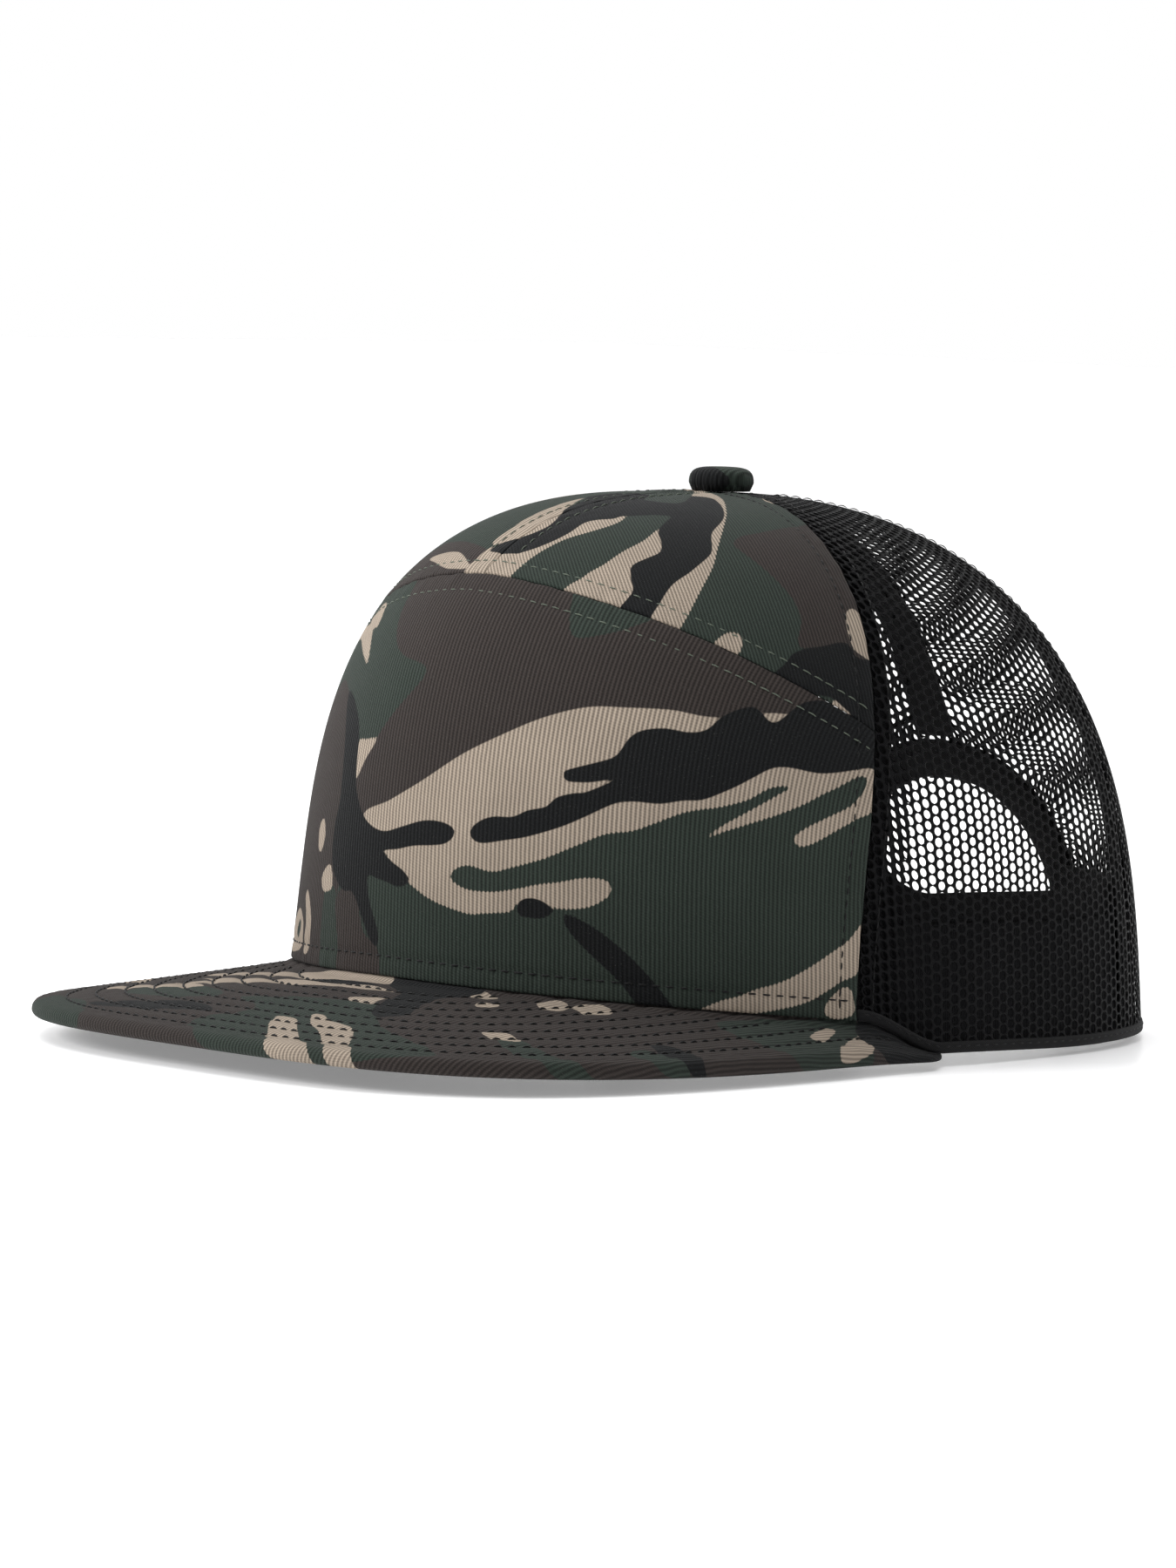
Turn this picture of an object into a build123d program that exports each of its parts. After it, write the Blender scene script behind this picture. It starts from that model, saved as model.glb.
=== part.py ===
from build123d import *
import os
from math import acos, atan2, cos, degrees, hypot, radians, sin, tan

# Trucker mesh cap, standing on its rim and brim: +Z up, Z = 0 the surface it stands on,
# -Y the front, +X the wearer's left. The origin is the middle of the head opening.
# Sizes are in millimetres and angles in degrees. An azimuth runs from the front round to the
# wearer's left; a rise angle runs from the rim, 0, to the button, 90.

# ---------------------------------------------------------------- crown
CROWN_FRONT = 103.0               # reach of the rim in front of the origin
CROWN_BACK = 86.0                 # and behind it
CROWN_HALF_WIDTH = 88.0
CROWN_HEIGHT = 118.5
POLE_Y = -1.0                     # place of the button
PLAN_POWER_FRONT = 1.9            # superellipse powers of the rim's outline
PLAN_POWER_BACK = 3.0
REACH_POWER = (3.3, 2.45, 2.3)    # profile powers at the front, side and back
RISE_POWER = (3.45, 3.6, 2.55)
LEAN = (0.10, 0.07, 0.09)         # share by which the top is drawn in

RIM_FRONT = 15.0                  # height of the rim at the front
RIM_SEAM = 9.0                    # at the seam of the front fabric and the mesh
RIM_EAR = 1.2                     # above the ear
RIM_POWER = 1.4
EAR_ANGLE = 79.0
REST_ANGLE = 112.0                # from here to the back the rim is at Z = 0

# ---------------------------------------------------------------- panels and layers
FRONT_SEAM_RIM = 64.5             # azimuth of the front and mesh seam at the rim
FRONT_SEAM_TOP = 70.5             # and above the rise angle FRONT_SEAM_TURN
FRONT_SEAM_TURN = 50.0
SIDE_BACK_SEAM = 123.5
YOKE_CENTRE = 46.5                # rise angle of the arched yoke seam at the middle
YOKE_SIDE = 30.0                  # and where it meets the mesh
YOKE_POWER = 1.65
SEAM_GAP = 0.15                   # between neighbouring pieces of one layer
LAYER_GAP = 0.15                  # between one layer and the next

PANEL_THICKNESS = 0.8
BUCKRAM_THICKNESS = 0.6
BUCKRAM_INSET = 1.5               # buckram stops short of the seams
TAPE_THICKNESS = 0.6
TAPE_WIDTH = 11.0
TAPE_END_GAP = 1.5
HEM_HEIGHT = 2.5                  # bound strip under the mesh's lower edge
HEM_THICKNESS = 1.6
HEM_PROUD = 0.2
SWEATBAND_HEIGHT = 34.0
SWEATBAND_THICKNESS = 1.0
SWEATBAND_LIFT = 0.6
LINING_THICKNESS = 0.5
LINING_HEIGHT = 28.0
LINING_END = 138.0                # azimuth where the lining stops, short of the strap anchors

# ---------------------------------------------------------------- back opening and strap
ARCH_HALF_WIDTH = 34.0
ARCH_HEIGHT = 51.0
ARCH_POWER = 2.3
BINDING_WIDTH = 9.0
BINDING_THICKNESS = 0.7
STRAP_WIDTH = 17.0
STRAP_CENTRE = 14.0               # height of the strap's middle line
STRAP_THICKNESS = 1.1
STRAP_GAP = 0.4                   # between the two halves where they overlap
STRAP_DEPTH = 0.5                 # outer half below the crown's outer surface
STRAP_CORNER = 6.0
HINGE_X = 31.0                    # living hinge of each half
HINGE_GAP = 1.2
OFFSET_LENGTH = 9.0               # the outer half steps out from its anchor over this length
ANCHOR_LENGTH = 19.0
HOLE_COUNT = 7
PEG_COUNT = 3
HOLE_PITCH = 8.8
FIRST_HOLE = 3.8                  # from the hinge to the first hole
TIP_LENGTH = 4.8                  # from the last hole or peg to the tip
HOLE_RADIUS = 2.4
PEG_RADIUS = 1.6
PEG_HEAD_RADIUS = 1.95
PEG_HEAD_HEIGHT = 0.7
PEG_STAND = 0.3                   # neck left free above the outer half

# ---------------------------------------------------------------- brim
BRIM_HALF_WIDTH = CROWN_HALF_WIDTH + 3.0
BRIM_REACH = CROWN_FRONT + 58.0   # front edge from the origin
BRIM_WIDEST = 27.0                # the widest place, in front of the origin
BRIM_POWER = 3.3
BRIM_TAIL = 30.0                  # how softly the ends turn in behind the widest place
BRIM_LIFT_FRONT = 3.0             # underside of the edge at the front
BRIM_LIFT_SIDE = 0.2
BRIM_LIFT_POWER = 2.1
COVER_THICKNESS = 0.7
BOARD_THICKNESS = 2.0
TAIL_THICKNESS = 1.0              # of the whole brim at its ends
TAIL_ANGLE = 24.0                 # outline angle over which the brim thins
BOARD_END_ANGLE = 18.0            # the board stops this far short of the brim's ends
BRIM_GAP = 0.5                    # under the crown's rim
BRIM_SECTIONS = 31

# ---------------------------------------------------------------- button
BUTTON_RADIUS = 7.3
BUTTON_BASE_RADIUS = 6.5
BUTTON_HEIGHT = 5.2
BUTTON_COVER_THICKNESS = 0.7
BUTTON_SHELL_THICKNESS = 0.5
RIVET_HOLE_RADIUS = 3.4           # hole at the top of the crown
RIVET_RADIUS = 2.2
RIVET_HEAD_RADIUS = 4.6
RIVET_HEAD_THICKNESS = 0.8
WASHER_RADIUS = 7.0
WASHER_THICKNESS = 0.8
RIVET_CLEARANCE = 0.1

# ---------------------------------------------------------------- depths below the crown's skin
BUCKRAM_DEPTH = PANEL_THICKNESS + LAYER_GAP
FRONT_TAPE_DEPTH = BUCKRAM_DEPTH + BUCKRAM_THICKNESS + LAYER_GAP
MESH_TAPE_DEPTH = PANEL_THICKNESS + LAYER_GAP
ANCHOR_DEPTH = max(MESH_TAPE_DEPTH + BINDING_THICKNESS + 2 * LAYER_GAP,
                   STRAP_DEPTH + STRAP_THICKNESS + STRAP_GAP)
TAPE_END_DEPTH = FRONT_TAPE_DEPTH + TAPE_THICKNESS
SWEATBAND_DEPTH = max(TAPE_END_DEPTH + LAYER_GAP + LINING_THICKNESS,
                      ANCHOR_DEPTH + STRAP_THICKNESS) + LAYER_GAP
LINING_DEPTH = (TAPE_END_DEPTH + SWEATBAND_DEPTH - LINING_THICKNESS) / 2
BRIM_INNER_DEPTH = LINING_DEPTH - LAYER_GAP
BRIM_THICKNESS = BOARD_THICKNESS + 2 * (COVER_THICKNESS + LAYER_GAP)
BUTTON_SEAT = CROWN_HEIGHT + LAYER_GAP
BINDING_FOOT = HEM_HEIGHT + 2 * SEAM_GAP


# ---------------------------------------------------------------- the crown's surface
def smooth(x):
    """Ease from 0 to 1 as x goes from 0 to 1."""
    x = min(max(x, 0.0), 1.0)
    return x * x * (3 - 2 * x)


def around(values, t):
    """A value given at the front, side and back, mixed for azimuth t."""
    front, side, back = values
    c = cos(radians(t))
    return side + (front - back) / 2 * c + ((front + back) / 2 - side) * c * c


def plan_radius(t):
    """Radius of the rim's outline at azimuth t."""
    c, s = cos(radians(t)), sin(radians(t))
    reach, power = (CROWN_FRONT, PLAN_POWER_FRONT) if c > 0 else (CROWN_BACK, PLAN_POWER_BACK)
    return (abs(c / reach) ** power + abs(s / CROWN_HALF_WIDTH) ** power) ** (-1 / power)


def rim_height(t):
    """Height of the rim at azimuth t."""
    t = abs((t + 180) % 360 - 180)
    if t < FRONT_SEAM_RIM:
        return RIM_FRONT - (RIM_FRONT - RIM_SEAM) * (t / FRONT_SEAM_RIM) ** RIM_POWER
    ear = RIM_EAR * (1 - smooth((t - EAR_ANGLE) / (REST_ANGLE - EAR_ANGLE)))
    drop = smooth((t - FRONT_SEAM_RIM) / (EAR_ANGLE - FRONT_SEAM_RIM))
    return RIM_SEAM + (ear - RIM_SEAM) * drop


def crown_point(t, rise):
    """Point of the crown's skin: its profile at azimuth t is reach ** p + height ** q = 1."""
    p, q = around(REACH_POWER, t), around(RISE_POWER, t)
    c, s = abs(cos(radians(rise))), max(sin(radians(rise)), 0.0)
    size = 1.0
    for _ in range(12):
        reach_term, height_term = (size * c) ** p, (size * s) ** q
        change = (reach_term + height_term - 1) * size / (p * reach_term + q * height_term)
        size -= change
        if abs(change) < 1e-9:
            break
    height = size * s
    reach = size * c * (1 - around(LEAN, t) * height)
    low = rim_height(t)
    x = plan_radius(t) * sin(radians(t)) * reach
    y = POLE_Y + (-plan_radius(t) * cos(radians(t)) - POLE_Y) * reach
    return Vector(x, y, low + (CROWN_HEIGHT - low) * height)


def skin_steps(t, rise):
    """Steps of the skin for a small change of azimuth and of rise angle, and its normal."""
    along = crown_point(t + 0.2, rise) - crown_point(t - 0.2, rise)
    up = crown_point(t, rise + 0.2) - crown_point(t, max(rise - 0.2, 0.0))
    return along, up, along.cross(up).normalized()


def shell_point(t, rise, depth):
    """Point at a depth below the crown's skin."""
    return crown_point(t, rise) - skin_steps(t, rise)[2] * depth


def rise_at(t, above_rim):
    """Rise angle of the skin a given height above the rim."""
    height = above_rim / (CROWN_HEIGHT - rim_height(t))
    reach = (1 - height ** around(RISE_POWER, t)) ** (1 / around(REACH_POWER, t))
    return degrees(atan2(height, reach))


def rise_near_pole(t, radius):
    """Rise angle of the skin at a radius from the pole's axis."""
    return degrees(acos(radius / (plan_radius(t) * (1 - around(LEAN, t)))))


def angle_for(length, t, rise):
    """Azimuth that spans a length on the skin."""
    p = crown_point(t, rise)
    return degrees(length / hypot(p.X, p.Y - POLE_Y))


# ---------------------------------------------------------------- seam lines
def front_seam(rise):
    """Azimuth of the seam between the front fabric and the mesh."""
    return FRONT_SEAM_RIM + (FRONT_SEAM_TOP - FRONT_SEAM_RIM) * smooth(rise / FRONT_SEAM_TURN)


def yoke_seam(t):
    """Rise angle of the arched seam between the front panel and the upper panels."""
    return YOKE_CENTRE - (YOKE_CENTRE - YOKE_SIDE) * (abs(t) / FRONT_SEAM_TOP) ** YOKE_POWER


def beside(seam, side, margin=SEAM_GAP / 2):
    """A seam's azimuth as a function of rise, moved aside by a margin in millimetres."""
    return lambda rise: seam(rise) + side * angle_for(margin, seam(rise), rise)


def over(seam, side, margin=SEAM_GAP / 2):
    """A seam's rise as a function of azimuth, moved up or down by a margin in millimetres."""
    return lambda t: seam(t) + side * degrees(margin / CROWN_HEIGHT)


def straight(t):
    """Seam that keeps one azimuth."""
    return lambda rise: t


def at_height(above_rim):
    return lambda t: rise_at(t, above_rim)


def at_pole(radius):
    return lambda t: rise_near_pole(t, radius)


# ---------------------------------------------------------------- solids of the crown
def skin_solid(point, depth, thickness, columns, rows):
    """Closed thin solid between two skins; point(u, v, depth) is a place on a skin."""
    skins = []
    for level in (depth, depth + thickness):
        grid = [[point(i / columns, j / rows, level) for j in range(rows + 1)]
                for i in range(columns + 1)]
        skins.append(Face.make_surface_from_array_of_points(grid, tol=0.01))
    outer, inner = skins
    sides = []
    for edge in outer.edges():
        middle = edge @ 0.5
        partner = min(inner.edges(), key=lambda other: ((other @ 0.5) - middle).length)
        sides.append(Face.make_surface_from_curves(edge, partner))
    return Solid(Shell([outer, inner] + sides))


def panel(left, right, bottom, top, depth, thickness, columns=16, rows=20):
    """Piece of the crown between two seams (azimuth from rise) and two edges (rise from azimuth)."""
    def point(u, v, level):
        rise = 45.0
        for _ in range(6):
            t = left(rise) + (right(rise) - left(rise)) * u
            rise = bottom(t) + (top(t) - bottom(t)) * v
        return shell_point(t, rise, level)
    return skin_solid(point, depth, thickness, columns, rows)


def upright_tape(seam, bottom, top, depth):
    """Tape over a seam that runs from the rim towards the button."""
    return panel(beside(seam, -1, TAPE_WIDTH / 2), beside(seam, 1, TAPE_WIDTH / 2),
                 bottom, top, depth, TAPE_THICKNESS, columns=4)


def level_tape(seam, left, right, depth):
    """Tape over a seam that runs across the crown."""
    return panel(left, right, over(seam, -1, TAPE_WIDTH / 2), over(seam, 1, TAPE_WIDTH / 2),
                 depth, TAPE_THICKNESS, columns=28, rows=4)


# ---------------------------------------------------------------- back opening
def back_place(x, z):
    """Azimuth and rise of the skin's point behind the head at a given X and Z."""
    t = 180.0
    for _ in range(12):
        rise = rise_at(t, z - rim_height(t))
        p = crown_point(t, rise)
        t -= degrees((x - p.X) / hypot(p.X, p.Y))
    return t, rise


def arch_outline(margin):
    """Prism through the back of the crown, as wide as the half-moon opening plus a margin."""
    half_width, height = ARCH_HALF_WIDTH + margin, ARCH_HEIGHT + margin
    points = []
    for step in range(17):
        angle = radians(180 - step * 180 / 16)
        size = (abs(cos(angle)) ** ARCH_POWER + abs(sin(angle)) ** ARCH_POWER) ** (-1 / ARCH_POWER)
        points.append(Vector(half_width * size * cos(angle), 0, height * size * sin(angle)))
    below = Vector(0, 0, -ARCH_HEIGHT / 2)
    curve = Edge.make_spline(points, tangents=[(0, 0, 1), (0, 0, -1)])
    foot = Wire.make_polygon([points[0], points[0] + below, points[-1] + below, points[-1]],
                             close=False)
    face = Face(Wire([curve] + foot.edges()))
    return Pos(0, CROWN_BACK / 2, 0) * extrude(face, amount=CROWN_BACK, dir=(0, 1, 0))


# ---------------------------------------------------------------- strap
def outer_half_depth(x):
    """The outer half leaves its anchor's depth and steps out to overlap the inner half."""
    return ANCHOR_DEPTH + (STRAP_DEPTH - ANCHOR_DEPTH) * smooth((HINGE_X - x) / OFFSET_LENGTH)


def inner_half_depth(x):
    return ANCHOR_DEPTH


def strap_band(x_from, x_to, depth_at, corner_x=None):
    """Band of the strap between two X places, with rounded corners at corner_x."""
    def point(u, v, level):
        x = x_from + (x_to - x_from) * u
        z = STRAP_CENTRE + (v - 0.5) * STRAP_WIDTH
        return shell_point(*back_place(x, z), depth_at(x) + level)
    band = skin_solid(point, 0, STRAP_THICKNESS, 20, 4)
    if corner_x is None:
        return band
    length = abs(x_to - x_from) * 2
    corner_block = extrude(Plane.XZ * RectangleRounded(length, STRAP_WIDTH, STRAP_CORNER),
                           amount=CROWN_BACK, both=True)
    inward = 1 if x_from > corner_x or x_to > corner_x else -1
    return band & Pos(corner_x + inward * length / 2, CROWN_BACK, STRAP_CENTRE) * corner_block


def strap_frame(x, depth):
    """Plane on the strap's middle line, its Z axis pointing out of the cap."""
    t, rise = back_place(x, STRAP_CENTRE)
    return Plane(origin=shell_point(t, rise, depth), z_dir=skin_steps(t, rise)[2])


def hole_places():
    return [HINGE_X - FIRST_HOLE - HOLE_PITCH * i for i in range(HOLE_COUNT)]


def hole_strap():
    """Outer half of the snap strap, hinged on the wearer's left."""
    tip = hole_places()[-1] - TIP_LENGTH
    band = strap_band(tip, HINGE_X, outer_half_depth, tip)
    for x in hole_places():
        frame = strap_frame(x, outer_half_depth(x) + STRAP_THICKNESS / 2)
        band -= frame * Cylinder(HOLE_RADIUS, 4 * STRAP_THICKNESS)
    return band


def peg_strap():
    """Inner half of the snap strap, hinged on the wearer's right, its pegs through the last holes."""
    tip = hole_places()[-PEG_COUNT] + TIP_LENGTH
    band = strap_band(-HINGE_X, tip, inner_half_depth, tip)
    neck = STRAP_GAP + STRAP_THICKNESS + PEG_STAND
    root = STRAP_THICKNESS / 2
    for x in hole_places()[-PEG_COUNT:]:
        frame = strap_frame(x, ANCHOR_DEPTH)
        band += frame * Pos(0, 0, (neck - root) / 2) * Cylinder(PEG_RADIUS, neck + root)
        head = Pos(0, 0, neck + PEG_HEAD_HEIGHT / 2) * Cone(PEG_HEAD_RADIUS, PEG_RADIUS,
                                                           PEG_HEAD_HEIGHT)
        band += frame * head
    return band


def hinge_line(x, depth):
    """Lower and upper ends of a living hinge at the middle of the strap's thickness."""
    ends = []
    for z in (STRAP_CENTRE - STRAP_WIDTH / 2, STRAP_CENTRE + STRAP_WIDTH / 2):
        ends.append(shell_point(*back_place(x, z), depth + STRAP_THICKNESS / 2))
    return ends


# ---------------------------------------------------------------- brim
def brim_outline(angle):
    """Azimuth, radius and edge height of the brim's outline at an angle about its widest place."""
    c, s = cos(radians(angle)), sin(radians(angle))
    if c > 0:
        reach, power = BRIM_REACH - BRIM_WIDEST, BRIM_POWER
    else:
        reach, power = BRIM_TAIL, 2.0
    size = (abs(c / reach) ** power + abs(s / BRIM_HALF_WIDTH) ** power) ** (-1 / power)
    x, y = size * s, -BRIM_WIDEST - size * c
    forward = max(-y - BRIM_WIDEST, 0) / (BRIM_REACH - BRIM_WIDEST)
    lift = BRIM_LIFT_SIDE + (BRIM_LIFT_FRONT - BRIM_LIFT_SIDE) * forward ** BRIM_LIFT_POWER
    return degrees(atan2(x, -y)), hypot(x, y), lift


def brim_end():
    """Outline angle where the brim's edge runs in under the crown's rim."""
    low, high = 90.0, 170.0
    for _ in range(40):
        middle = (low + high) / 2
        t, radius, _ = brim_outline(middle)
        if radius > plan_radius(t):
            low = middle
        else:
            high = middle
    return low


def brim_place(angle, share, level, end):
    """Point of the brim at an outline angle: share 0 at the crown and 1 at the edge, level 0 on
    top and 1 underneath."""
    t, radius, lift = brim_outline(angle)
    inner = plan_radius(t) - BRIM_INNER_DEPTH
    thickness = brim_thickness(angle, end)
    top_in, top_out = rim_height(t) - BRIM_GAP, lift + thickness
    rho = inner + (radius - inner) * share
    z = top_in + (top_out - top_in) * share - thickness * level
    return Vector(rho * sin(radians(t)), -rho * cos(radians(t)), z)


def brim_thickness(angle, end):
    thin = smooth((abs(angle) - end + TAIL_ANGLE) / TAIL_ANGLE)
    return BRIM_THICKNESS + (TAIL_THICKNESS - BRIM_THICKNESS) * thin


def brim_section(angle, end, kind):
    """Closed section of the top cover, board or under cover in the radial plane at an angle."""
    t, radius, _ = brim_outline(angle)
    width = radius - plan_radius(t) + BRIM_INNER_DEPTH
    thick = brim_thickness(angle, end)
    cover = min(COVER_THICKNESS, (thick - LAYER_GAP) / 2) / thick
    gap = LAYER_GAP / thick
    turn = 1 - thick / 2 / width

    def at(share, level):
        return brim_place(angle, share, level, end)

    def nose(inset):
        """Half-round edge, inset from the brim's edge by a share of its thickness."""
        reach = thick * (0.5 - inset) / width
        points = []
        for step in range(5):
            a = radians(step * 45)
            points.append(at(turn + reach * sin(a), 0.5 - (0.5 - inset) * cos(a)))
        return Edge.make_spline(points)

    if kind == "top":
        outer, inner = nose(0), nose(cover)
        corners = [at(0, 0), outer @ 0, outer @ 1, inner @ 1, inner @ 0, at(0, cover)]
        edges = [Edge.make_line(corners[0], corners[1]), outer,
                 Edge.make_line(corners[2], corners[3]), inner,
                 Edge.make_line(corners[4], corners[5]), Edge.make_line(corners[5], corners[0])]
    elif kind == "board":
        round_end = nose(cover + gap)
        corners = [at(0, cover + gap), round_end @ 0, round_end @ 1, at(0, 1 - cover - gap)]
        edges = [Edge.make_line(corners[0], corners[1]), round_end,
                 Edge.make_line(corners[2], corners[3]), Edge.make_line(corners[3], corners[0])]
    else:
        stop = turn - SEAM_GAP / width
        corners = [at(0, 1 - cover), at(stop, 1 - cover), at(stop, 1), at(0, 1)]
        edges = [Edge.make_line(a, b) for a, b in zip(corners, corners[1:] + corners[:1])]
    return Wire(edges)


def brim_piece(kind, short=0.0):
    end = brim_end()
    last = end - short
    sections = []
    for i in range(BRIM_SECTIONS):
        sections.append(brim_section(last * (2 * i / (BRIM_SECTIONS - 1) - 1), end, kind))
    return Solid.make_loft(sections)


# ---------------------------------------------------------------- button
def dome(inset, foot):
    """Solid of the button's outer shape, inset by a wall and cut off below a foot height."""
    radius, height = BUTTON_RADIUS - inset, BUTTON_HEIGHT - inset
    base = BUTTON_BASE_RADIUS - inset
    side = Edge.make_spline([(base, 0, foot), (radius, 0, height * 0.42),
                             (radius * 0.8, 0, height * 0.86), (0, 0, height)],
                            tangents=[(0.35, 0, 1), (-1, 0, 0)])
    profile = Wire([side, Edge.make_line((0, 0, height), (0, 0, foot)),
                    Edge.make_line((0, 0, foot), (base, 0, foot))])
    return Pos(0, POLE_Y, BUTTON_SEAT) * revolve(Face(profile), Axis.Z)


def disc(radius, top, thickness, hole=0.0):
    """Flat round piece on the button's axis, its upper face at a height."""
    solid = Cylinder(radius, thickness)
    if hole:
        solid -= Cylinder(hole, 2 * thickness)
    return Pos(0, POLE_Y, top - thickness / 2) * solid


def button_rivet():
    washer_top = CROWN_HEIGHT - FRONT_TAPE_DEPTH - LAYER_GAP
    head_top = washer_top - WASHER_THICKNESS - RIVET_CLEARANCE
    flange_top = BUTTON_SEAT + 2 * RIVET_HEAD_THICKNESS
    stem = disc(RIVET_RADIUS, flange_top, flange_top - head_top + RIVET_HEAD_THICKNESS / 2)
    flange = disc(RIVET_HEAD_RADIUS, flange_top, RIVET_HEAD_THICKNESS)
    return stem + flange + disc(RIVET_HEAD_RADIUS, head_top, RIVET_HEAD_THICKNESS)


# ---------------------------------------------------------------- the nodes
def write(name, shape):
    """Write one node and print its size."""
    export_step(shape, f"parts/{name}.step")
    print(f"{name:28s} {len(shape.solids())} solid {shape.volume:9.1f} mm3")


def write_pair(name, shape):
    """Write a piece of the wearer's left side and its mirror image on the right."""
    write(f"{name}_left", shape)
    write(f"{name}_right", mirror(shape, about=Plane.YZ))


def mirrored(seam):
    return lambda rise: -seam(rise)


os.makedirs("parts", exist_ok=True)

hem_top = at_height(HEM_HEIGHT + 2 * SEAM_GAP)
rim_edge = at_height(LAYER_GAP)
panel_top = at_pole(RIVET_HOLE_RADIUS)
fabric_edge = beside(front_seam, -1)
buckram_edge = beside(front_seam, -1, BUCKRAM_INSET)
nearest_seams = min(FRONT_SEAM_TOP, SIDE_BACK_SEAM - FRONT_SEAM_TOP, 180 - SIDE_BACK_SEAM)
tape_top = at_pole(TAPE_WIDTH / 2 / tan(radians(nearest_seams / 2)) + TAPE_END_GAP)

# fabric and mesh panels
write("front_panel", panel(mirrored(fabric_edge), fabric_edge, rim_edge, over(yoke_seam, -1),
                           0, PANEL_THICKNESS, columns=28))
write_pair("upper_front_panel", panel(beside(straight(0), 1), fabric_edge, over(yoke_seam, 1),
                                      panel_top, 0, PANEL_THICKNESS))
write_pair("side_mesh", panel(beside(front_seam, 1), beside(straight(SIDE_BACK_SEAM), -1),
                              hem_top, panel_top, 0, PANEL_THICKNESS))
opening = arch_outline(0)
write_pair("back_mesh", panel(beside(straight(SIDE_BACK_SEAM), 1), beside(straight(180), -1),
                              hem_top, panel_top, 0, PANEL_THICKNESS) - opening)

# stiffening behind the front panels
write("front_buckram", panel(mirrored(buckram_edge), buckram_edge, rim_edge,
                             over(yoke_seam, -1, BUCKRAM_INSET), BUCKRAM_DEPTH,
                             BUCKRAM_THICKNESS, columns=28))
write_pair("upper_buckram", panel(beside(straight(0), 1, BUCKRAM_INSET), buckram_edge,
                                  over(yoke_seam, 1, BUCKRAM_INSET), panel_top, BUCKRAM_DEPTH,
                                  BUCKRAM_THICKNESS))

# tapes over the seams, inside
write_pair("front_side_seam_tape", upright_tape(front_seam, hem_top, tape_top, FRONT_TAPE_DEPTH))
write_pair("side_back_seam_tape", upright_tape(straight(SIDE_BACK_SEAM), hem_top, tape_top,
                                               MESH_TAPE_DEPTH))
above_binding = at_height(ARCH_HEIGHT + BINDING_WIDTH + TAPE_END_GAP)
write("back_centre_seam_tape", upright_tape(straight(180), above_binding, tape_top,
                                            MESH_TAPE_DEPTH))
write("front_centre_seam_tape", upright_tape(straight(0), over(yoke_seam, 1, TAPE_WIDTH), tape_top,
                                             FRONT_TAPE_DEPTH))
yoke_end = front_seam(YOKE_SIDE) - angle_for(TAPE_WIDTH + TAPE_END_GAP, FRONT_SEAM_TOP, YOKE_SIDE)
write("yoke_seam_tape", level_tape(yoke_seam, straight(-yoke_end), straight(yoke_end),
                                   FRONT_TAPE_DEPTH))

# bindings of the mesh's edges
arch_side = back_place(ARCH_HALF_WIDTH, 0)[0]
binding_shell = panel(straight(arch_side - 30), straight(390 - arch_side),
                      at_height(BINDING_FOOT), at_height(ARCH_HEIGHT + 2 * BINDING_WIDTH),
                      MESH_TAPE_DEPTH, BINDING_THICKNESS)
write("arch_binding", (binding_shell & arch_outline(BINDING_WIDTH)) - opening)
write_pair("rim_binding", panel(straight(FRONT_SEAM_RIM), straight(arch_side), at_height(0),
                                at_height(HEM_HEIGHT), -HEM_PROUD, HEM_THICKNESS, columns=30,
                                rows=3))

# sweatband and its lining
sweatband_end = straight(back_place(ARCH_HALF_WIDTH + TAPE_END_GAP, 0)[0])
write("sweatband", panel(mirrored(sweatband_end), sweatband_end, at_height(SWEATBAND_LIFT),
                         at_height(SWEATBAND_LIFT + SWEATBAND_HEIGHT), SWEATBAND_DEPTH,
                         SWEATBAND_THICKNESS, columns=60, rows=5))
write("sweatband_lining", panel(straight(-LINING_END), straight(LINING_END),
                                at_height(SWEATBAND_LIFT), at_height(LINING_HEIGHT), LINING_DEPTH,
                                LINING_THICKNESS, columns=50, rows=5))

# snap strap
write("hole_strap", hole_strap())
write("hole_strap_anchor", strap_band(HINGE_X + HINGE_GAP, HINGE_X + HINGE_GAP + ANCHOR_LENGTH,
                                      inner_half_depth))
write("peg_strap", peg_strap())
write("peg_strap_anchor", strap_band(-HINGE_X - HINGE_GAP - ANCHOR_LENGTH, -HINGE_X - HINGE_GAP,
                                     inner_half_depth))

# brim
write("brim_top_cover", brim_piece("top"))
write("brim_board", brim_piece("board", BOARD_END_ANGLE))
write("brim_under_cover", brim_piece("under"))

# button
cover_inside = BUTTON_COVER_THICKNESS + RIVET_CLEARANCE
write("button_cover", dome(0, 0) - dome(BUTTON_COVER_THICKNESS, -LAYER_GAP))
write("button_shell", dome(cover_inside, 0)
      - dome(cover_inside + BUTTON_SHELL_THICKNESS, -LAYER_GAP))
write("button_rivet", button_rivet())
write("button_washer", disc(WASHER_RADIUS, CROWN_HEIGHT - FRONT_TAPE_DEPTH - LAYER_GAP,
                            WASHER_THICKNESS, RIVET_RADIUS + RIVET_CLEARANCE))

for label, x, depth in (("hole_strap", HINGE_X, ANCHOR_DEPTH), ("peg_strap", -HINGE_X, ANCHOR_DEPTH)):
    print(label, "hinge", [tuple(round(c, 3) for c in end) for end in hinge_line(x, depth)])
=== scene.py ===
import math

import bpy
import numpy as np
from mathutils import Matrix, Vector


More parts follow.
